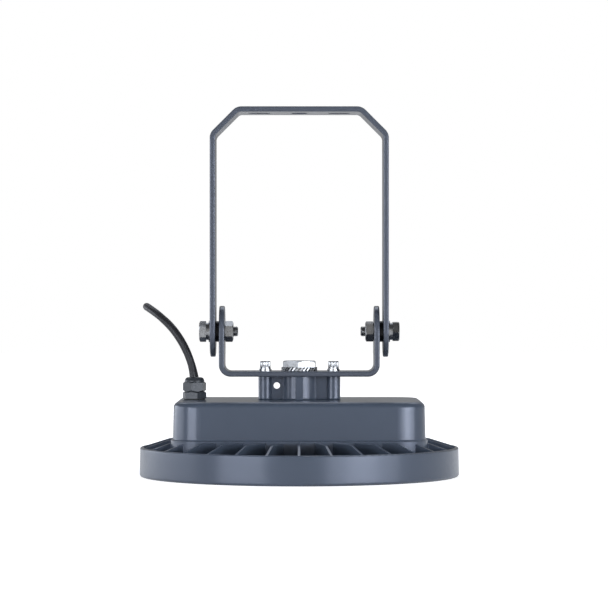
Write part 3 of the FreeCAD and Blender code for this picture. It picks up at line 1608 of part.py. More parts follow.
def build():
    housing()
    led_plate()
    led_board()
    led_chips()
    lens_cover()
    lens_gasket()
    front_ring()
    countersunk_screws(
        "front_ring_screws", front_ring_underside, size.ring_screw_length, ring_screw_radius,
        size.front_ring_screw_count,
    )
    countersunk_screws(
        "led_plate_screws", led_plate_underside, size.plate_screw_length, plate_screw_circle,
        size.led_plate_screw_count, gap_between_fins,
    )
    led_board_screws()
    driver()
    driver_screws()
    terminal_block()
    terminal_screw()
    lead_grommet()
    inner_cores()
    driver_input_leads()
    led_leads()
    gland_gasket()
    gland_body()
    gland_seal()
    gland_nut()
    gland_locknut()
    supply_cord()
    stripped_cores()
    lamp_bracket()
    hub_plug()
    hub_lock_washer()
    washers("bracket_flat_washers", bracket_top, size.cap_screw_diameter + size.hole_gap,
            size.cap_washer_diameter, size.cap_washer_thickness)
    washers("bracket_spring_washers", bracket_top + size.cap_washer_thickness,
            size.cap_screw_diameter + size.hole_gap, size.cap_spring_diameter,
            size.cap_spring_thickness, slit=size.spring_slit / 2)
    bracket_screws()
    yoke()
    pivots()


def check():
    """Every object has to be sound before anything is written."""
    doc.recompute()
    for item in doc.Objects:
        if "Invalid" in item.State or "Error" in item.State:
            raise ValueError(f"{item.Label} has failed: {item.State}")
    for part in sub_parts:
        if part.Shape.isNull() or not part.Shape.isValid() or not part.Shape.Solids:
            raise ValueError(f"{part.Label} has no sound shape")


def write():
    os.makedirs("parts", exist_ok=True)
    for part in sub_parts:
        part.Shape.exportStep(f"parts/{part.Label}.step")
        box = part.Shape.BoundBox
        print(
            f"{part.Label}: {len(part.Shape.Solids)} solids, {part.Shape.Volume:.0f} mm3, "
            f"x {box.XMin:.1f} to {box.XMax:.1f}, y {box.YMin:.1f} to {box.YMax:.1f}, "
            f"z {box.ZMin:.1f} to {box.ZMax:.1f}"
        )


build()
check()
write()
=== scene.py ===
import json
import math

import bmesh
import bpy
from mathutils import Matrix, Vector


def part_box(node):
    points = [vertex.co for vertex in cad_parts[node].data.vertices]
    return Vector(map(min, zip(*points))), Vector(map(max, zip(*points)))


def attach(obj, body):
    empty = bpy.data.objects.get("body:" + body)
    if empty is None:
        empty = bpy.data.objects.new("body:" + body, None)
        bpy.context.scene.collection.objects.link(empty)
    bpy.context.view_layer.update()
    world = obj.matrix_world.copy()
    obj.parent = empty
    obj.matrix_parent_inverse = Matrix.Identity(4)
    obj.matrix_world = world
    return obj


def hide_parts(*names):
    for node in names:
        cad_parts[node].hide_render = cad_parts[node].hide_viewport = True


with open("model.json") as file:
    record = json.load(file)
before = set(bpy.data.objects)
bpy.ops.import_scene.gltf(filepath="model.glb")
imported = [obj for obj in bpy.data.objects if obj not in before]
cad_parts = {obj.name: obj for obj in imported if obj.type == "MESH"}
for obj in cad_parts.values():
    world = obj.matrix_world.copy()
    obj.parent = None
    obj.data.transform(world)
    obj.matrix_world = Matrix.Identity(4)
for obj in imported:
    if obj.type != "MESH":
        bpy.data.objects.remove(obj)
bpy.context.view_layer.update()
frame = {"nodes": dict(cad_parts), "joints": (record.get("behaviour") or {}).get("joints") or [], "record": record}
nodes = frame["nodes"]

# Colours, as a painter would name them, in the values that a screen shows
COAT = (0.293, 0.327, 0.375)
STRAP_COAT = (0.312, 0.330, 0.362)
COAT_GLOSS = (0.88, 0.90, 1.0)
NYLON = (0.228, 0.240, 0.255)
ZINC = (0.80, 0.80, 0.80)
DARK_ZINC = (0.68, 0.68, 0.68)

# How far the coat's edges are softened on the casting and on the straps, in metres
CASTING_EDGE = 0.0009
STRAP_EDGE = 0.0016

MM = 0.001

# The strength of the room's light round the lamp and overhead, and its colour
ROOM_LIGHT = 0.20
CEILING_LIGHT = 0.10
ROOM_COLOUR = (0.97, 0.98, 1.0, 1.0)

# Where overhead starts and is full, by a direction's z
CEILING_START = 0.2
CEILING_FULL = 0.8

# Where the white cards behind and before the lamp start and are full, by a direction's y,
# and their strength
BACKDROP_START = 0.55
BACKDROP_FULL = 0.95
BACKDROP_SHARE = 0.14
FRONT_CARD_START = 0.70
FRONT_CARD_FULL = 0.97
FRONT_CARD_SHARE = 0.38

# How bright the floor is to look at, near the lamp and far from it, and in reflections
FLOOR_GLOW = 0.80
FLOOR_GLOW_FAR = 1.0
FLOOR_REFLECTED = 0.3

# The floor's colour, its half width, and how far from its middle the glow starts and stops changing,
# in metres
FLOOR_COLOUR = (0.86, 0.86, 0.86, 1.0)
FLOOR_HALF = 6.0
FLOOR_NEAR = 0.25
FLOOR_FAR = 1.0

# The tint of the lights, as a screen colour, and the height of the place that they face, in metres
LIGHT_TINT = (0.92, 0.95, 1.0)
LIGHT_AIM_HEIGHT = 0.12

# The camera's lens and the width of its sensor, in mm, and its place, in metres
CAMERA_LENS = 154.3
CAMERA_SENSOR = 36.0
CAMERA_PLACE = (0.0044, -2.45, 0.1613)


def linear(colour):
    """A screen colour as the linear one that shaders take."""
    return tuple(
        value / 12.92 if value <= 0.04045 else ((value + 0.055) / 1.055) ** 2.4
        for value in colour
    ) + (1.0,)


# Materials


class Graph:
    """A short way to write a material's nodes."""

    def __init__(self, name):
        self.material = bpy.data.materials.new(name)
        self.material.use_nodes = True
        self.tree = self.material.node_tree
        self.shader = self.tree.nodes["Principled BSDF"]

    def add(self, kind, **settings):
        node = self.tree.nodes.new(kind)
        for key, value in settings.items():
            setattr(node, key, value)
        return node

    def link(self, start, end):
        self.tree.links.new(start, end)

    def point(self):
        """Places in the object's own space, in metres."""
        return self.add("ShaderNodeTexCoord").outputs["Object"]

    def noise(self, scale, detail=2.0, roughness=0.5):
        node = self.add("ShaderNodeTexNoise")
        node.inputs["Scale"].default_value = scale
        node.inputs["Detail"].default_value = detail
        node.inputs["Roughness"].default_value = roughness
        self.link(self.point(), node.inputs["Vector"])
        return node.outputs["Fac"]

    def spread(self, value, low, high, start=0.3, end=0.7):
        """Maps a noise's middle range onto a range of its own."""
        node = self.add("ShaderNodeMapRange")
        node.inputs["From Min"].default_value = start
        node.inputs["From Max"].default_value = end
        node.inputs["To Min"].default_value = low
        node.inputs["To Max"].default_value = high
        self.link(value, node.inputs["Value"])
        return node.outputs["Result"]

    def blend(self, factor, first, second):
        """The first colour where the factor is 0, and the second where it is 1."""
        node = self.add("ShaderNodeMix", data_type="RGBA")
        self.link(factor, node.inputs["Factor"])
        node.inputs["A"].default_value = first
        node.inputs["B"].default_value = second
        return node.outputs["Result"]

    def bump(self, height, strength, distance, below=None):
        node = self.add("ShaderNodeBump")
        node.inputs["Strength"].default_value = strength
        node.inputs["Distance"].default_value = distance
        self.link(height, node.inputs["Height"])
        if below is not None:
            self.link(below, node.inputs["Normal"])
        return node.outputs["Normal"]

    def set(self, **sockets):
        for name, value in sockets.items():
            socket = self.shader.inputs[name.replace("_", " ")]
            if isinstance(value, bpy.types.NodeSocket):
                self.link(value, socket)
            else:
                socket.default_value = value


def shade(colour, amount):
    """A colour made lighter or darker by a factor."""
    return tuple(min(1.0, value * amount) for value in colour[:3]) + (1.0,)


def powder_coat(name, colour, roughness=0.32, grain=1.0, soft_edge=0.0):
    """Glossy powder coat: faint orange peel, a little variation in tone and gloss, and softened edges."""
    graph = Graph(name)
    base = linear(colour)
    tone = graph.noise(scale=55.0, detail=3.0)
    peel = graph.noise(scale=900.0, detail=2.0, roughness=0.55)
    wave = graph.noise(scale=260.0, detail=1.0)
    graph.set(
        Base_Color=graph.blend(graph.spread(tone, 0.0, 1.0), shade(base, 0.98), shade(base, 1.02)),
        Roughness=graph.spread(wave, roughness - 0.03, roughness + 0.03),
        Metallic=0.0,
    )
    below = None
    if soft_edge > 0.0:
        edge = graph.add("ShaderNodeBevel", samples=4)
        edge.inputs["Radius"].default_value = soft_edge
        below = edge.outputs["Normal"]
    graph.set(Normal=graph.bump(peel, strength=0.022 * grain, distance=0.0001, below=below))
    graph.shader.inputs["Specular Tint"].default_value = linear(COAT_GLOSS)
    graph.shader.inputs["Coat Weight"].default_value = 0.65
    graph.shader.inputs["Coat Roughness"].default_value = 0.17
    return graph.material


def plated_steel(name, colour=ZINC, roughness=0.30):
    """Plated or bare metal with fine wear and faint cloudiness."""
    graph = Graph(name)
    base = linear(colour)
    cloud = graph.noise(scale=260.0, detail=4.0)
    scratch = graph.noise(scale=2600.0, detail=2.0)
    graph.set(
        Base_Color=graph.blend(graph.spread(cloud, 0.0, 1.0), shade(base, 0.82), shade(base, 1.08)),
        Roughness=graph.spread(cloud, roughness - 0.07, roughness + 0.09),
        Metallic=1.0,
        Normal=graph.bump(scratch, strength=0.12, distance=0.00005),
    )
    return graph.material


def moulded(name, colour, roughness=0.45, grain=0.15, scale=1800.0):
    """Moulded plastic or rubber with a fine texture."""
    graph = Graph(name)
    base = linear(colour)
    tone = graph.noise(scale=140.0, detail=2.0)
    fine = graph.noise(scale=scale, detail=2.0)
    graph.set(
        Base_Color=graph.blend(graph.spread(tone, 0.0, 1.0), shade(base, 0.92), shade(base, 1.08)),
        Roughness=graph.spread(tone, roughness - 0.04, roughness + 0.05),
        Normal=graph.bump(fine, strength=grain, distance=0.0001),
    )
    return graph.material


def clear_plastic(name):
    """Clear polycarbonate."""
    graph = Graph(name)
    tone = graph.noise(scale=90.0, detail=2.0)
    graph.set(
        Base_Color=linear((0.95, 0.97, 0.98)),
        Roughness=graph.spread(tone, 0.04, 0.09),
        IOR=1.58,
    )
    graph.shader.inputs["Transmission Weight"].default_value = 1.0
    return graph.material


def striped_core(name, first, second):
    """Insulation with two colours along it, in stripes round the core's own line."""
    graph = Graph(name)
    wave = graph.add("ShaderNodeTexWave", wave_type="BANDS", bands_direction="Y")
    wave.inputs["Scale"].default_value = 220.0
    graph.link(graph.point(), wave.inputs["Vector"])
    fine = graph.noise(scale=1500.0, detail=2.0)
    stripe = graph.spread(wave.outputs["Fac"], 0.0, 1.0, start=0.45, end=0.55)
    graph.set(
        Base_Color=graph.blend(stripe, linear(first), linear(second)),
        Roughness=graph.spread(fine, 0.36, 0.46),
    )
    return graph.material


finishes = {
    "casting_coat": powder_coat("casting_coat", COAT, soft_edge=CASTING_EDGE),
    "ring_coat": powder_coat("ring_coat", COAT),
    "steel_coat": powder_coat("steel_coat", STRAP_COAT, grain=0.15, soft_edge=STRAP_EDGE),
    "bare_aluminium": plated_steel("bare_aluminium", (0.82, 0.83, 0.84), 0.38),
    "board_mask": moulded("board_mask", (0.93, 0.93, 0.92), 0.35, 0.03),
    "led_phosphor": moulded("led_phosphor", (0.93, 0.80, 0.30), 0.30, 0.05),
    "clear_cover": clear_plastic("clear_cover"),
    "grey_rubber": moulded("grey_rubber", (0.66, 0.67, 0.68), 0.6),
    "black_rubber": moulded("black_rubber", (0.13, 0.13, 0.13), 0.62),
    "zinc_steel": plated_steel("zinc_steel"),
    "pivot_steel": plated_steel("pivot_steel", DARK_ZINC, 0.26),
    "driver_case": plated_steel("driver_case", (0.70, 0.71, 0.72), 0.42),
    "terminal_plastic": moulded("terminal_plastic", (0.90, 0.90, 0.86), 0.42, 0.06),
    "core_brown": moulded("core_brown", (0.42, 0.24, 0.14), 0.40, 0.05),
    "core_blue": moulded("core_blue", (0.10, 0.34, 0.66), 0.40, 0.05),
    "core_green_yellow": striped_core("core_green_yellow", (0.20, 0.52, 0.22), (0.90, 0.84, 0.16)),
    "lead_red": moulded("lead_red", (0.72, 0.12, 0.10), 0.40, 0.05),
    "tinned_copper": plated_steel("tinned_copper", (0.84, 0.84, 0.82), 0.25),
    "gland_nylon": moulded("gland_nylon", NYLON, 0.24, 0.05),
    "cord_sheath": moulded("cord_sheath", (0.155, 0.150, 0.158), 0.42, 0.25, 900.0),
    "spacer_plastic": moulded("spacer_plastic", (0.12, 0.12, 0.125), 0.40, 0.06),
}


def dress_nodes():
    """Gives each CAD node the finish of its record slot."""
    for part in frame["record"]["subparts"]:
        item = nodes[part["node"]]
        item.data.materials.clear()
        item.data.materials.append(finishes[part["material_slot"]])


# Places that the frame gives


def box_of(node):
    """The lowest and the highest corner of a CAD node, in mm."""
    return [[round(value / MM, 3) for value in corner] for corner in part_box(node)]


def pivot_height():
    """The height of the line that the yoke turns about, in mm."""
    return round(frame["joints"][0]["pos_m"][2] / MM, 3)


# The cord and its cores, with their routes in mm

CORD_ROUTE = [
    (-98.5, 0.0, 64.0),
    (-98.5, 0.0, 94.0),
    (-104.5, 0.0, 115.0),
    (-116.5, 2.5, 135.5),
    (-131.5, 12.0, 150.0),
    (-144.5, 31.0, 158.5),
    (-147.5, 56.0, 159.0),
    (-140.0, 79.5, 153.0),
    (-125.0, 96.0, 140.0),
    (-111.5, 104.5, 119.0),
    (-103.0, 109.5, 94.0),
    (-99.5, 116.0, 67.5),
    (-98.0, 128.5, 44.0),
    (-91.5, 145.0, 23.5),
    (-77.5, 162.0, 9.5),
    (-56.0, 174.0, 4.0),
    (-31.0, 179.0, 4.0),
    (-6.0, 177.0, 4.0),
]
CORE_ROUTES = {
    "core_live": [(-6.0, 178.3, 3.2), (3.0, 178.5, 3.0), (14.0, 181.0, 2.1), (28.5, 186.0, 1.8)],
    "core_neutral": [(-6.0, 175.7, 3.2), (3.0, 174.3, 3.0), (14.5, 170.8, 2.1), (28.0, 164.5, 1.8)],
    "core_earth": [(-6.0, 177.0, 5.6), (4.5, 176.2, 5.1), (17.0, 175.0, 2.3), (33.0, 173.0, 1.9)],
}
CORD_DIAMETER = 7.2 * MM
CORE_DIAMETER = 2.4 * MM


def spline_tube(name, route, diameter, material):
    """A round tube along a smooth NURBS line through the route's neighbourhood."""
    curve = bpy.data.curves.new(name, "CURVE")
    curve.dimensions = "3D"
    spline = curve.splines.new("NURBS")
    spline.points.add(len(route) - 1)
    for point, place in zip(spline.points, route):
        point.co = (*(value * MM for value in place), 1.0)
    spline.order_u = 3
    spline.use_endpoint_u = True
    spline.resolution_u = 12
    curve.bevel_depth = diameter / 2
    curve.bevel_resolution = 8
    curve.use_fill_caps = True
    item = bpy.data.objects.new(name, curve)
    bpy.context.scene.collection.objects.link(item)
    curve.materials.append(finishes[material])
    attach(item, "lamp")
    return item


def new_piece(name, mesh, slot):
    """Puts a finished mesh into the scene as a piece of the lamp, with a record slot's finish."""
    item = bpy.data.objects.new(name, mesh)
    bpy.context.scene.collection.objects.link(item)
    mesh.materials.append(finishes[slot])
    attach(item, "lamp")
    return item


def at_angle(value, angle):
    """A radius or height of a profile: a plain number, or one that changes round the axis."""
    return value(angle) if callable(value) else value


def lathe(name, profile, slot, origin=(0, 0, 0), direction=(0, 0, 1), steps=48, smooth=40, turn=0.0):
    """A closed turned piece. The profile is (radius, height) pairs in mm, in order round the section.

    Either of the two may be a function of the angle, as on a hexagon or a thread. An edge under smooth
    degrees is shaded smooth, and turn is how many degrees the piece is turned about its own axis.
    """
    mesh = bpy.data.meshes.new(name)
    build = bmesh.new()
    rings = []
    for radius, height in profile:
        if radius == 0:
            rings.append([build.verts.new((0, 0, height * MM))])
            continue
        ring = []
        for step in range(steps):
            angle = math.tau * step / steps
            reach = at_angle(radius, angle) * MM
            ring.append(build.verts.new((
                reach * math.cos(angle), reach * math.sin(angle), at_angle(height, angle) * MM,
            )))
        rings.append(ring)
    for first, second in zip(rings, rings[1:] + rings[:1]):
        if len(first) == 1 and len(second) == 1:
            continue
        for step in range(steps):
            following = (step + 1) % steps
            corners = [first[step % len(first)], first[following % len(first)],
                       second[following % len(second)], second[step % len(second)]]
            build.faces.new(list(dict.fromkeys(corners)))
    bmesh.ops.recalc_face_normals(build, faces=build.faces)
    laid = Vector((0, 0, 1)).rotation_difference(Vector(direction)).to_matrix().to_4x4()
    clocked = Matrix.Rotation(math.radians(turn), 4, "Z")
    build.transform(Matrix.Translation(Vector(origin) * MM) @ laid @ clocked)
    build.to_mesh(mesh)
    build.free()
    item = new_piece(name, mesh, slot)
    mesh.shade_smooth()
    mesh.set_sharp_from_angle(angle=math.radians(smooth))
    return item


def make_ferrule(name, route):
    """A crimped end sleeve and its flared collar at the end of a core."""
    end = Vector(route[-1])
    out = (end - Vector(route[-2])).normalized()
    collar_profile = [
        (1.22, -0.4), (1.5, -0.4), (1.5, 4.2), (1.3, 5.2),
        (0.82, 6.0), (0.7, 6.0), (0.7, 1.0), (1.22, 1.0),
    ]
    sleeve_profile = [
        (0.0, 1.0), (0.68, 1.0), (0.68, 7.0), (0.60, 7.4), (0.60, 8.2), (0.68, 8.6), (0.68, 9.4),
        (0.60, 9.8), (0.60, 10.6), (0.68, 11.0), (0.68, 13.8), (0.60, 14.0), (0.0, 14.0),
    ]
    collar = lathe(f"{name}_collar", collar_profile, "core_blue", end, out)
    sleeve = lathe(f"{name}_sleeve", sleeve_profile, "tinned_copper", end, out, smooth=60)
    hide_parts("core_ferrules")
    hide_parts("core_ferrules")
    return [collar, sleeve]


def make_cords():
    """The lead, from inside the gland to the end of its sheath, and its three cores with their ferrules."""
    core_slots = {"core_live": "core_brown", "core_neutral": "core_blue", "core_earth": "core_green_yellow"}
    cord = spline_tube("supply_lead", CORD_ROUTE, CORD_DIAMETER, "cord_sheath")
    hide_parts("supply_cord")
    for name, route in CORE_ROUTES.items():
        core = spline_tube(f"{name}_wire", route, CORE_DIAMETER, core_slots[name])
        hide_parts(name)
        ferrule = make_ferrule(name, route)


# Fasteners, with the fine forms that the solids leave out, in mm

HEX_STEPS = 96
BEVEL_START_SHARE = 0.475
BEVEL_SLOPE = math.tan(math.radians(30))

PIVOT_FLATS = 17.0
BOLT_HEAD_HEIGHT = 6.4
SHANK_RADIUS = 4.95
THREAD_DEPTH = 0.85
THREAD_PITCH = 1.5
THREAD_ROWS_A_TURN = 6

CAP_SCREW_PLACE = 32.0
CAP_HEAD_HEIGHT = 6.0
CAP_GROOVES = 36
SOCKET_FLATS = 5.0

GLAND_FLATS = 19.6
GLAND_DOME_HEIGHT = 4.4

# How far each of these is turned about its own axis, in degrees
BOLT_TURNS = {"left": 57.0, "right": 35.0}
NUT_TURNS = {"left": 2.0, "right": 45.0}
GLAND_NUT_TURN = 17.5


def hex_radius(across_flats):
    """From a hexagon's middle to its outline, by angle, with a corner at angle 0."""

    def radius(angle):
        return across_flats / 2 / math.cos(angle % (math.tau / 6) - math.tau / 12)

    return radius


def bevelled(across_flats, height, way):
    """Where a hexagon's flats end under the bevel that turns off its corners: way is 1 at the top."""
    outline = hex_radius(across_flats)

    def edge(angle):
        return height - way * max(0.0, outline(angle) - across_flats * BEVEL_START_SHARE) * BEVEL_SLOPE

    return edge


def thread_rows(start, end):
    """The profile rows of a real helical thread, with its crests at the shank's radius."""
    count = math.ceil((end - start) / THREAD_PITCH * THREAD_ROWS_A_TURN)
    rows = []
    for index in range(count + 1):
        height = start + (end - start) * index / count

        def radius(angle, height=height):
            turns = height / THREAD_PITCH - angle / math.tau
            return SHANK_RADIUS - THREAD_DEPTH * abs(2 * (turns % 1.0) - 1)

        rows.append((radius, height))
    return rows


def ends_along_pivot(node):
    """How far out from the lamp's middle a pivot piece starts and ends, on either side."""
    low, high = box_of(node)
    return sorted((abs(low[0]), abs(high[0])))


def pivot_piece(name, profile, side, turn, node):
    """A turned steel piece on the pivot's line that stands for a CAD node."""
    item = lathe(
        name, profile, "pivot_steel", (0, 0, pivot_height()), (side, 0, 0), HEX_STEPS, smooth=30, turn=turn,
    )
    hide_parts(node)


def make_pivot_bolt(side_name, side):
    """An M10 bolt: hexagon head, plain shank and a thread that shows beyond the nut."""
    node = f"{side_name}_pivot_bolt"
    end, head_top = ends_along_pivot(node)
    head_face = head_top - BOLT_HEAD_HEIGHT
    profile = [(0, end), (3.7, end), (4.1, end + 0.4)]
    profile += thread_rows(end + 0.8, head_face - 14.0)
    profile += [
        (SHANK_RADIUS, head_face - 13.5),
        (SHANK_RADIUS, head_face),
        (hex_radius(PIVOT_FLATS), head_face),
        (hex_radius(PIVOT_FLATS), bevelled(PIVOT_FLATS, head_top, 1)),
        (PIVOT_FLATS * BEVEL_START_SHARE, head_top),
        (PIVOT_FLATS * 0.40, head_top),
        (PIVOT_FLATS * 0.37, head_top - 0.35),
        (0, head_top - 0.35),
    ]
    pivot_piece(f"{side_name}_bolt", profile, side, BOLT_TURNS[side_name], node)


def make_pivot_nut(side_name, side):
    """The M10 nut inside the bracket's arm."""
    node = f"{side_name}_pivot_nut"
    foot, top = ends_along_pivot(node)
    profile = [
        (5.02, foot + 0.7),
        (5.7, foot),
        (PIVOT_FLATS * BEVEL_START_SHARE, foot),
        (hex_radius(PIVOT_FLATS), bevelled(PIVOT_FLATS, foot, -1)),
        (hex_radius(PIVOT_FLATS), bevelled(PIVOT_FLATS, top, 1)),
        (PIVOT_FLATS * BEVEL_START_SHARE, top),
        (5.7, top),
        (5.02, top - 0.7),
    ]
    pivot_piece(f"{side_name}_nut", profile, side, NUT_TURNS[side_name], node)


def make_cap_screw(side_name, side):
    """An M6 socket cap screw with a knurled head."""
    low, high = box_of("bracket_screws")
    end, top = low[2], high[2]
    foot = top - CAP_HEAD_HEIGHT

    def knurled(angle):
        return 4.87 - 0.15 * (1 - math.cos(angle * CAP_GROOVES))

    profile = [
        (0, end),
        (2.3, end),
        (2.95, end + 0.7),
        (2.95, foot),
        (4.6, foot),
        (4.9, foot + 0.3),
        (4.9, foot + 0.7),
        (knurled, foot + 0.9),
        (knurled, top - 1.3),
        (4.95, top - 1.1),
        (4.9, top - 0.5),
        (4.65, top - 0.15),
        (4.3, top),
        (3.2, top),
        (hex_radius(SOCKET_FLATS), top - 0.3),
        (hex_radius(SOCKET_FLATS), top - 3.2),
        (0, top - 3.9),
    ]
    screw = lathe(
        f"{side_name}_cap_screw", profile, "zinc_steel", (side * CAP_SCREW_PLACE, 0, 0),
        steps=CAP_GROOVES * 4, smooth=35,
    )
    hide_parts("bracket_screws")


def make_gland_nut():
    """The gland's domed nut: a bevelled hexagon with a round dome round the cord."""
    low, high = box_of("gland_nut")
    foot, top = low[2], high[2]
    shoulder = top - GLAND_DOME_HEIGHT
    profile = [
        (8.0, foot),
        (GLAND_FLATS * BEVEL_START_SHARE, foot),
        (hex_radius(GLAND_FLATS), bevelled(GLAND_FLATS, foot, -1)),
        (hex_radius(GLAND_FLATS), bevelled(GLAND_FLATS, shoulder, 1)),
        (9.4, shoulder),
        (9.25, shoulder + 0.25),
        (9.3, shoulder + 0.6),
        (9.2, shoulder + 1.4),
        (8.8, shoulder + 2.6),
        (8.1, shoulder + 3.6),
        (7.1, shoulder + 4.2),
        (6.1, top),
        (4.9, top),
        (4.7, top - 0.3),
        (4.7, shoulder),
        (8.0, shoulder),
    ]
    nut = lathe(
        "gland_dome_nut", profile, "gland_nylon", (CORD_ROUTE[0][0], 0, 0),
        steps=HEX_STEPS, smooth=28, turn=GLAND_NUT_TURN,
    )
    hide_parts("gland_nut")


def make_fasteners():
    """Both pivots' bolts and nuts, the two screws beside the plug, and the gland's nut."""
    for side_name, side in (("left", -1), ("right", 1)):
        make_pivot_bolt(side_name, side)
        make_pivot_nut(side_name, side)
        make_cap_screw(side_name, side)
    make_gland_nut()


# Surroundings


def largest(tree, first, second):
    """The larger of two values."""
    node = tree.nodes.new("ShaderNodeMath")
    node.operation = "MAXIMUM"
    tree.links.new(first, node.inputs[0])
    tree.links.new(second, node.inputs[1])
    return node.outputs[0]


def product(tree, value, factor):
    """A value times a number or another value."""
    node = tree.nodes.new("ShaderNodeMath")
    node.operation = "MULTIPLY"
    tree.links.new(value, node.inputs[0])
    if isinstance(factor, bpy.types.NodeSocket):
        tree.links.new(factor, node.inputs[1])
    else:
        node.inputs[1].default_value = factor
    return node.outputs[0]


def seen_directly(tree, path):
    """1 for what is looked at, or looked at through something clear, and 0 for the rest."""
    return largest(tree, path.outputs["Is Camera Ray"], path.outputs["Is Transmission Ray"])


def ramp(tree, value, start, end, low, high):
    """Low before start, high after end, and a smooth change between."""
    node = tree.nodes.new("ShaderNodeMapRange")
    node.interpolation_type = "SMOOTHSTEP"
    for socket, number in (("From Min", start), ("From Max", end), ("To Min", low), ("To Max", high)):
        node.inputs[socket].default_value = number
    tree.links.new(value, node.inputs["Value"])
    return node.outputs["Result"]


def make_world():
    """White to look at and through, a dim room that gives light, and white cards that are reflected."""
    world = bpy.data.worlds.new("studio")
    bpy.context.scene.world = world
    world.use_nodes = True
    tree = world.node_tree
    tree.nodes.clear()
    coordinates = tree.nodes.new("ShaderNodeTexCoord")
    axes = tree.nodes.new("ShaderNodeSeparateXYZ")
    tree.links.new(coordinates.outputs["Generated"], axes.inputs[0])

    white = tree.nodes.new("ShaderNodeBackground")
    white.inputs["Color"].default_value = (1.0, 1.0, 1.0, 1.0)
    white.inputs["Strength"].default_value = 1.0
    room = tree.nodes.new("ShaderNodeBackground")
    room.inputs["Color"].default_value = ROOM_COLOUR
    strength = ramp(tree, axes.outputs["Z"], CEILING_START, CEILING_FULL, ROOM_LIGHT, CEILING_LIGHT)
    tree.links.new(strength, room.inputs["Strength"])

    path = tree.nodes.new("ShaderNodeLightPath")
    behind = ramp(tree, axes.outputs["Y"], BACKDROP_START, BACKDROP_FULL, 0.0, BACKDROP_SHARE)
    before = ramp(tree, axes.outputs["Y"], -FRONT_CARD_FULL, -FRONT_CARD_START, FRONT_CARD_SHARE, 0.0)
    reflected = product(tree, path.outputs["Is Glossy Ray"], largest(tree, behind, before))
    mix = tree.nodes.new("ShaderNodeMixShader")
    tree.links.new(largest(tree, seen_directly(tree, path), reflected), mix.inputs[0])
    tree.links.new(room.outputs[0], mix.inputs[1])
    tree.links.new(white.outputs[0], mix.inputs[2])
    out = tree.nodes.new("ShaderNodeOutputWorld")
    tree.links.new(mix.outputs[0], out.inputs["Surface"])


def floor_white():
    """Pale, with a glow that makes it white where nothing shades it."""
    material = bpy.data.materials.new("floor_white")
    material.use_nodes = True
    tree = material.node_tree
    surface = tree.nodes["Principled BSDF"]
    surface.inputs["Base Color"].default_value = FLOOR_COLOUR
    surface.inputs["Roughness"].default_value = 0.7
    surface.inputs["Specular IOR Level"].default_value = 0.2
    surface.inputs["Emission Color"].default_value = (1.0, 1.0, 1.0, 1.0)
    path = tree.nodes.new("ShaderNodeLightPath")
    coordinates = tree.nodes.new("ShaderNodeTexCoord")
    distance = tree.nodes.new("ShaderNodeVectorMath")
    distance.operation = "LENGTH"
    tree.links.new(coordinates.outputs["Object"], distance.inputs[0])
    glow = ramp(tree, distance.outputs["Value"], FLOOR_NEAR, FLOOR_FAR, FLOOR_GLOW, FLOOR_GLOW_FAR)
    seen = product(tree, seen_directly(tree, path), glow)
    reflected = product(tree, path.outputs["Is Glossy Ray"], FLOOR_REFLECTED)
    tree.links.new(largest(tree, seen, reflected), surface.inputs["Emission Strength"])
    return material


def make_floor():
    """A wide level floor."""
    mesh = bpy.data.meshes.new("floor")
    far = FLOOR_HALF
    corners = [(-far, -far, 0), (far, -far, 0), (far, far, 0), (-far, far, 0)]
    mesh.from_pydata(corners, [], [(0, 1, 2, 3)])
    floor = bpy.data.objects.new("floor", mesh)
    bpy.context.scene.collection.objects.link(floor)
    mesh.materials.append(floor_white())


def area_light(name, place, width, height, power, reflected):
    """A light that faces the middle of the part. A fill light isn't reflected in it."""
    light = bpy.data.lights.new(name, "AREA")
    light.shape = "RECTANGLE"
    light.size = width
    light.size_y = height
    light.energy = power
    light.color = linear(LIGHT_TINT)[:3]
    item = bpy.data.objects.new(name, light)
    item.location = place
    direction = Vector((0.0, 0.0, LIGHT_AIM_HEIGHT)) - Vector(place)
    item.rotation_euler = direction.to_track_quat("-Z", "Y").to_euler()
    item.visible_glossy = reflected
    bpy.context.scene.collection.objects.link(item)


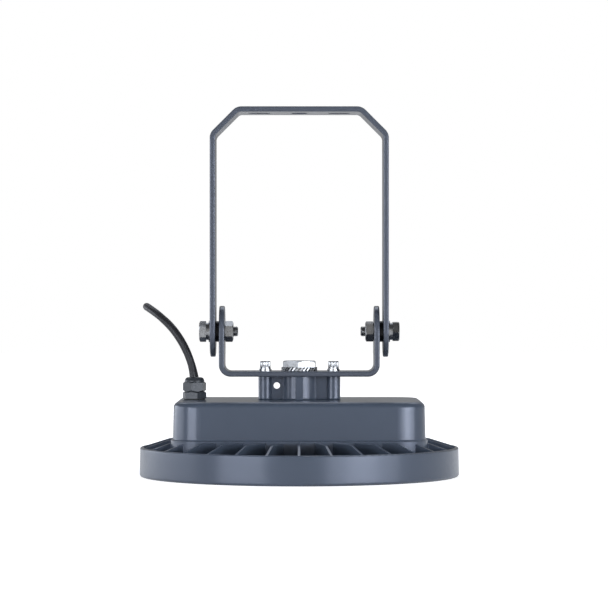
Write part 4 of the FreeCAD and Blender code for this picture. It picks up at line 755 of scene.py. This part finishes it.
def strip_light(name, place, width, height, power):
    """A light whose reflection gives a highlight."""
    area_light(name, place, width, height, power, reflected=True)


def fill_light(name, place, width, height, power):
    """A light that brightens a side and shows in no reflection."""
    area_light(name, place, width, height, power, reflected=False)


def around_lamp(angle, distance, height):
    """A place round the lamp: angle 0 is towards the camera, 90 to the right."""
    turn = math.radians(angle)
    return distance * math.sin(turn), -distance * math.cos(turn), height


def make_lights():
    """Low strips light the upright faces, a high one the fins' crowns, and fill lights the rest."""
    strip_light("right_strip", around_lamp(46, 2.2, 0.2), width=2.20, height=0.75, power=26.0)
    strip_light("right_core", around_lamp(44, 2.15, 0.2), width=0.80, height=0.75, power=8.0)
    strip_light("left_strip", around_lamp(-40, 2.2, 0.2), width=1.35, height=0.75, power=18.0)
    strip_light("side_strip", around_lamp(-108, 2.0, 0.2), width=2.5, height=0.75, power=14.0)
    fill_light("right_fill", around_lamp(75, 2.4, 1.0), width=1.6, height=1.6, power=8.0)
    fill_light("left_fill", around_lamp(-70, 2.4, 1.0), width=1.8, height=1.6, power=9.0)
    strip_light("crown_strip", around_lamp(180, 1.4, 1.8), width=2.8, height=0.9, power=12.0)
    fill_light("back_fill", around_lamp(175, 2.4, 1.2), width=1.8, height=1.6, power=5.0)
    fill_light("front_top_fill", around_lamp(0, 1.4, 1.7), width=1.6, height=1.6, power=3.5)
    fill_light("top_fill", (0.0, 0.1, 2.2), width=1.6, height=1.6, power=4.0)


def make_camera():
    """A level camera, far enough away for a nearly flat view."""
    camera = bpy.data.cameras.new("camera")
    camera.lens = CAMERA_LENS
    camera.sensor_width = CAMERA_SENSOR
    camera.clip_end = 50.0
    item = bpy.data.objects.new("camera", camera)
    item.location = CAMERA_PLACE
    item.rotation_euler = (math.radians(90), 0.0, 0.0)
    bpy.context.scene.collection.objects.link(item)
    bpy.context.scene.camera = item


dress_nodes()
make_cords()
make_fasteners()
make_world()
make_floor()
make_lights()
make_camera()
bpy.context.scene.view_settings.view_transform = "Standard"
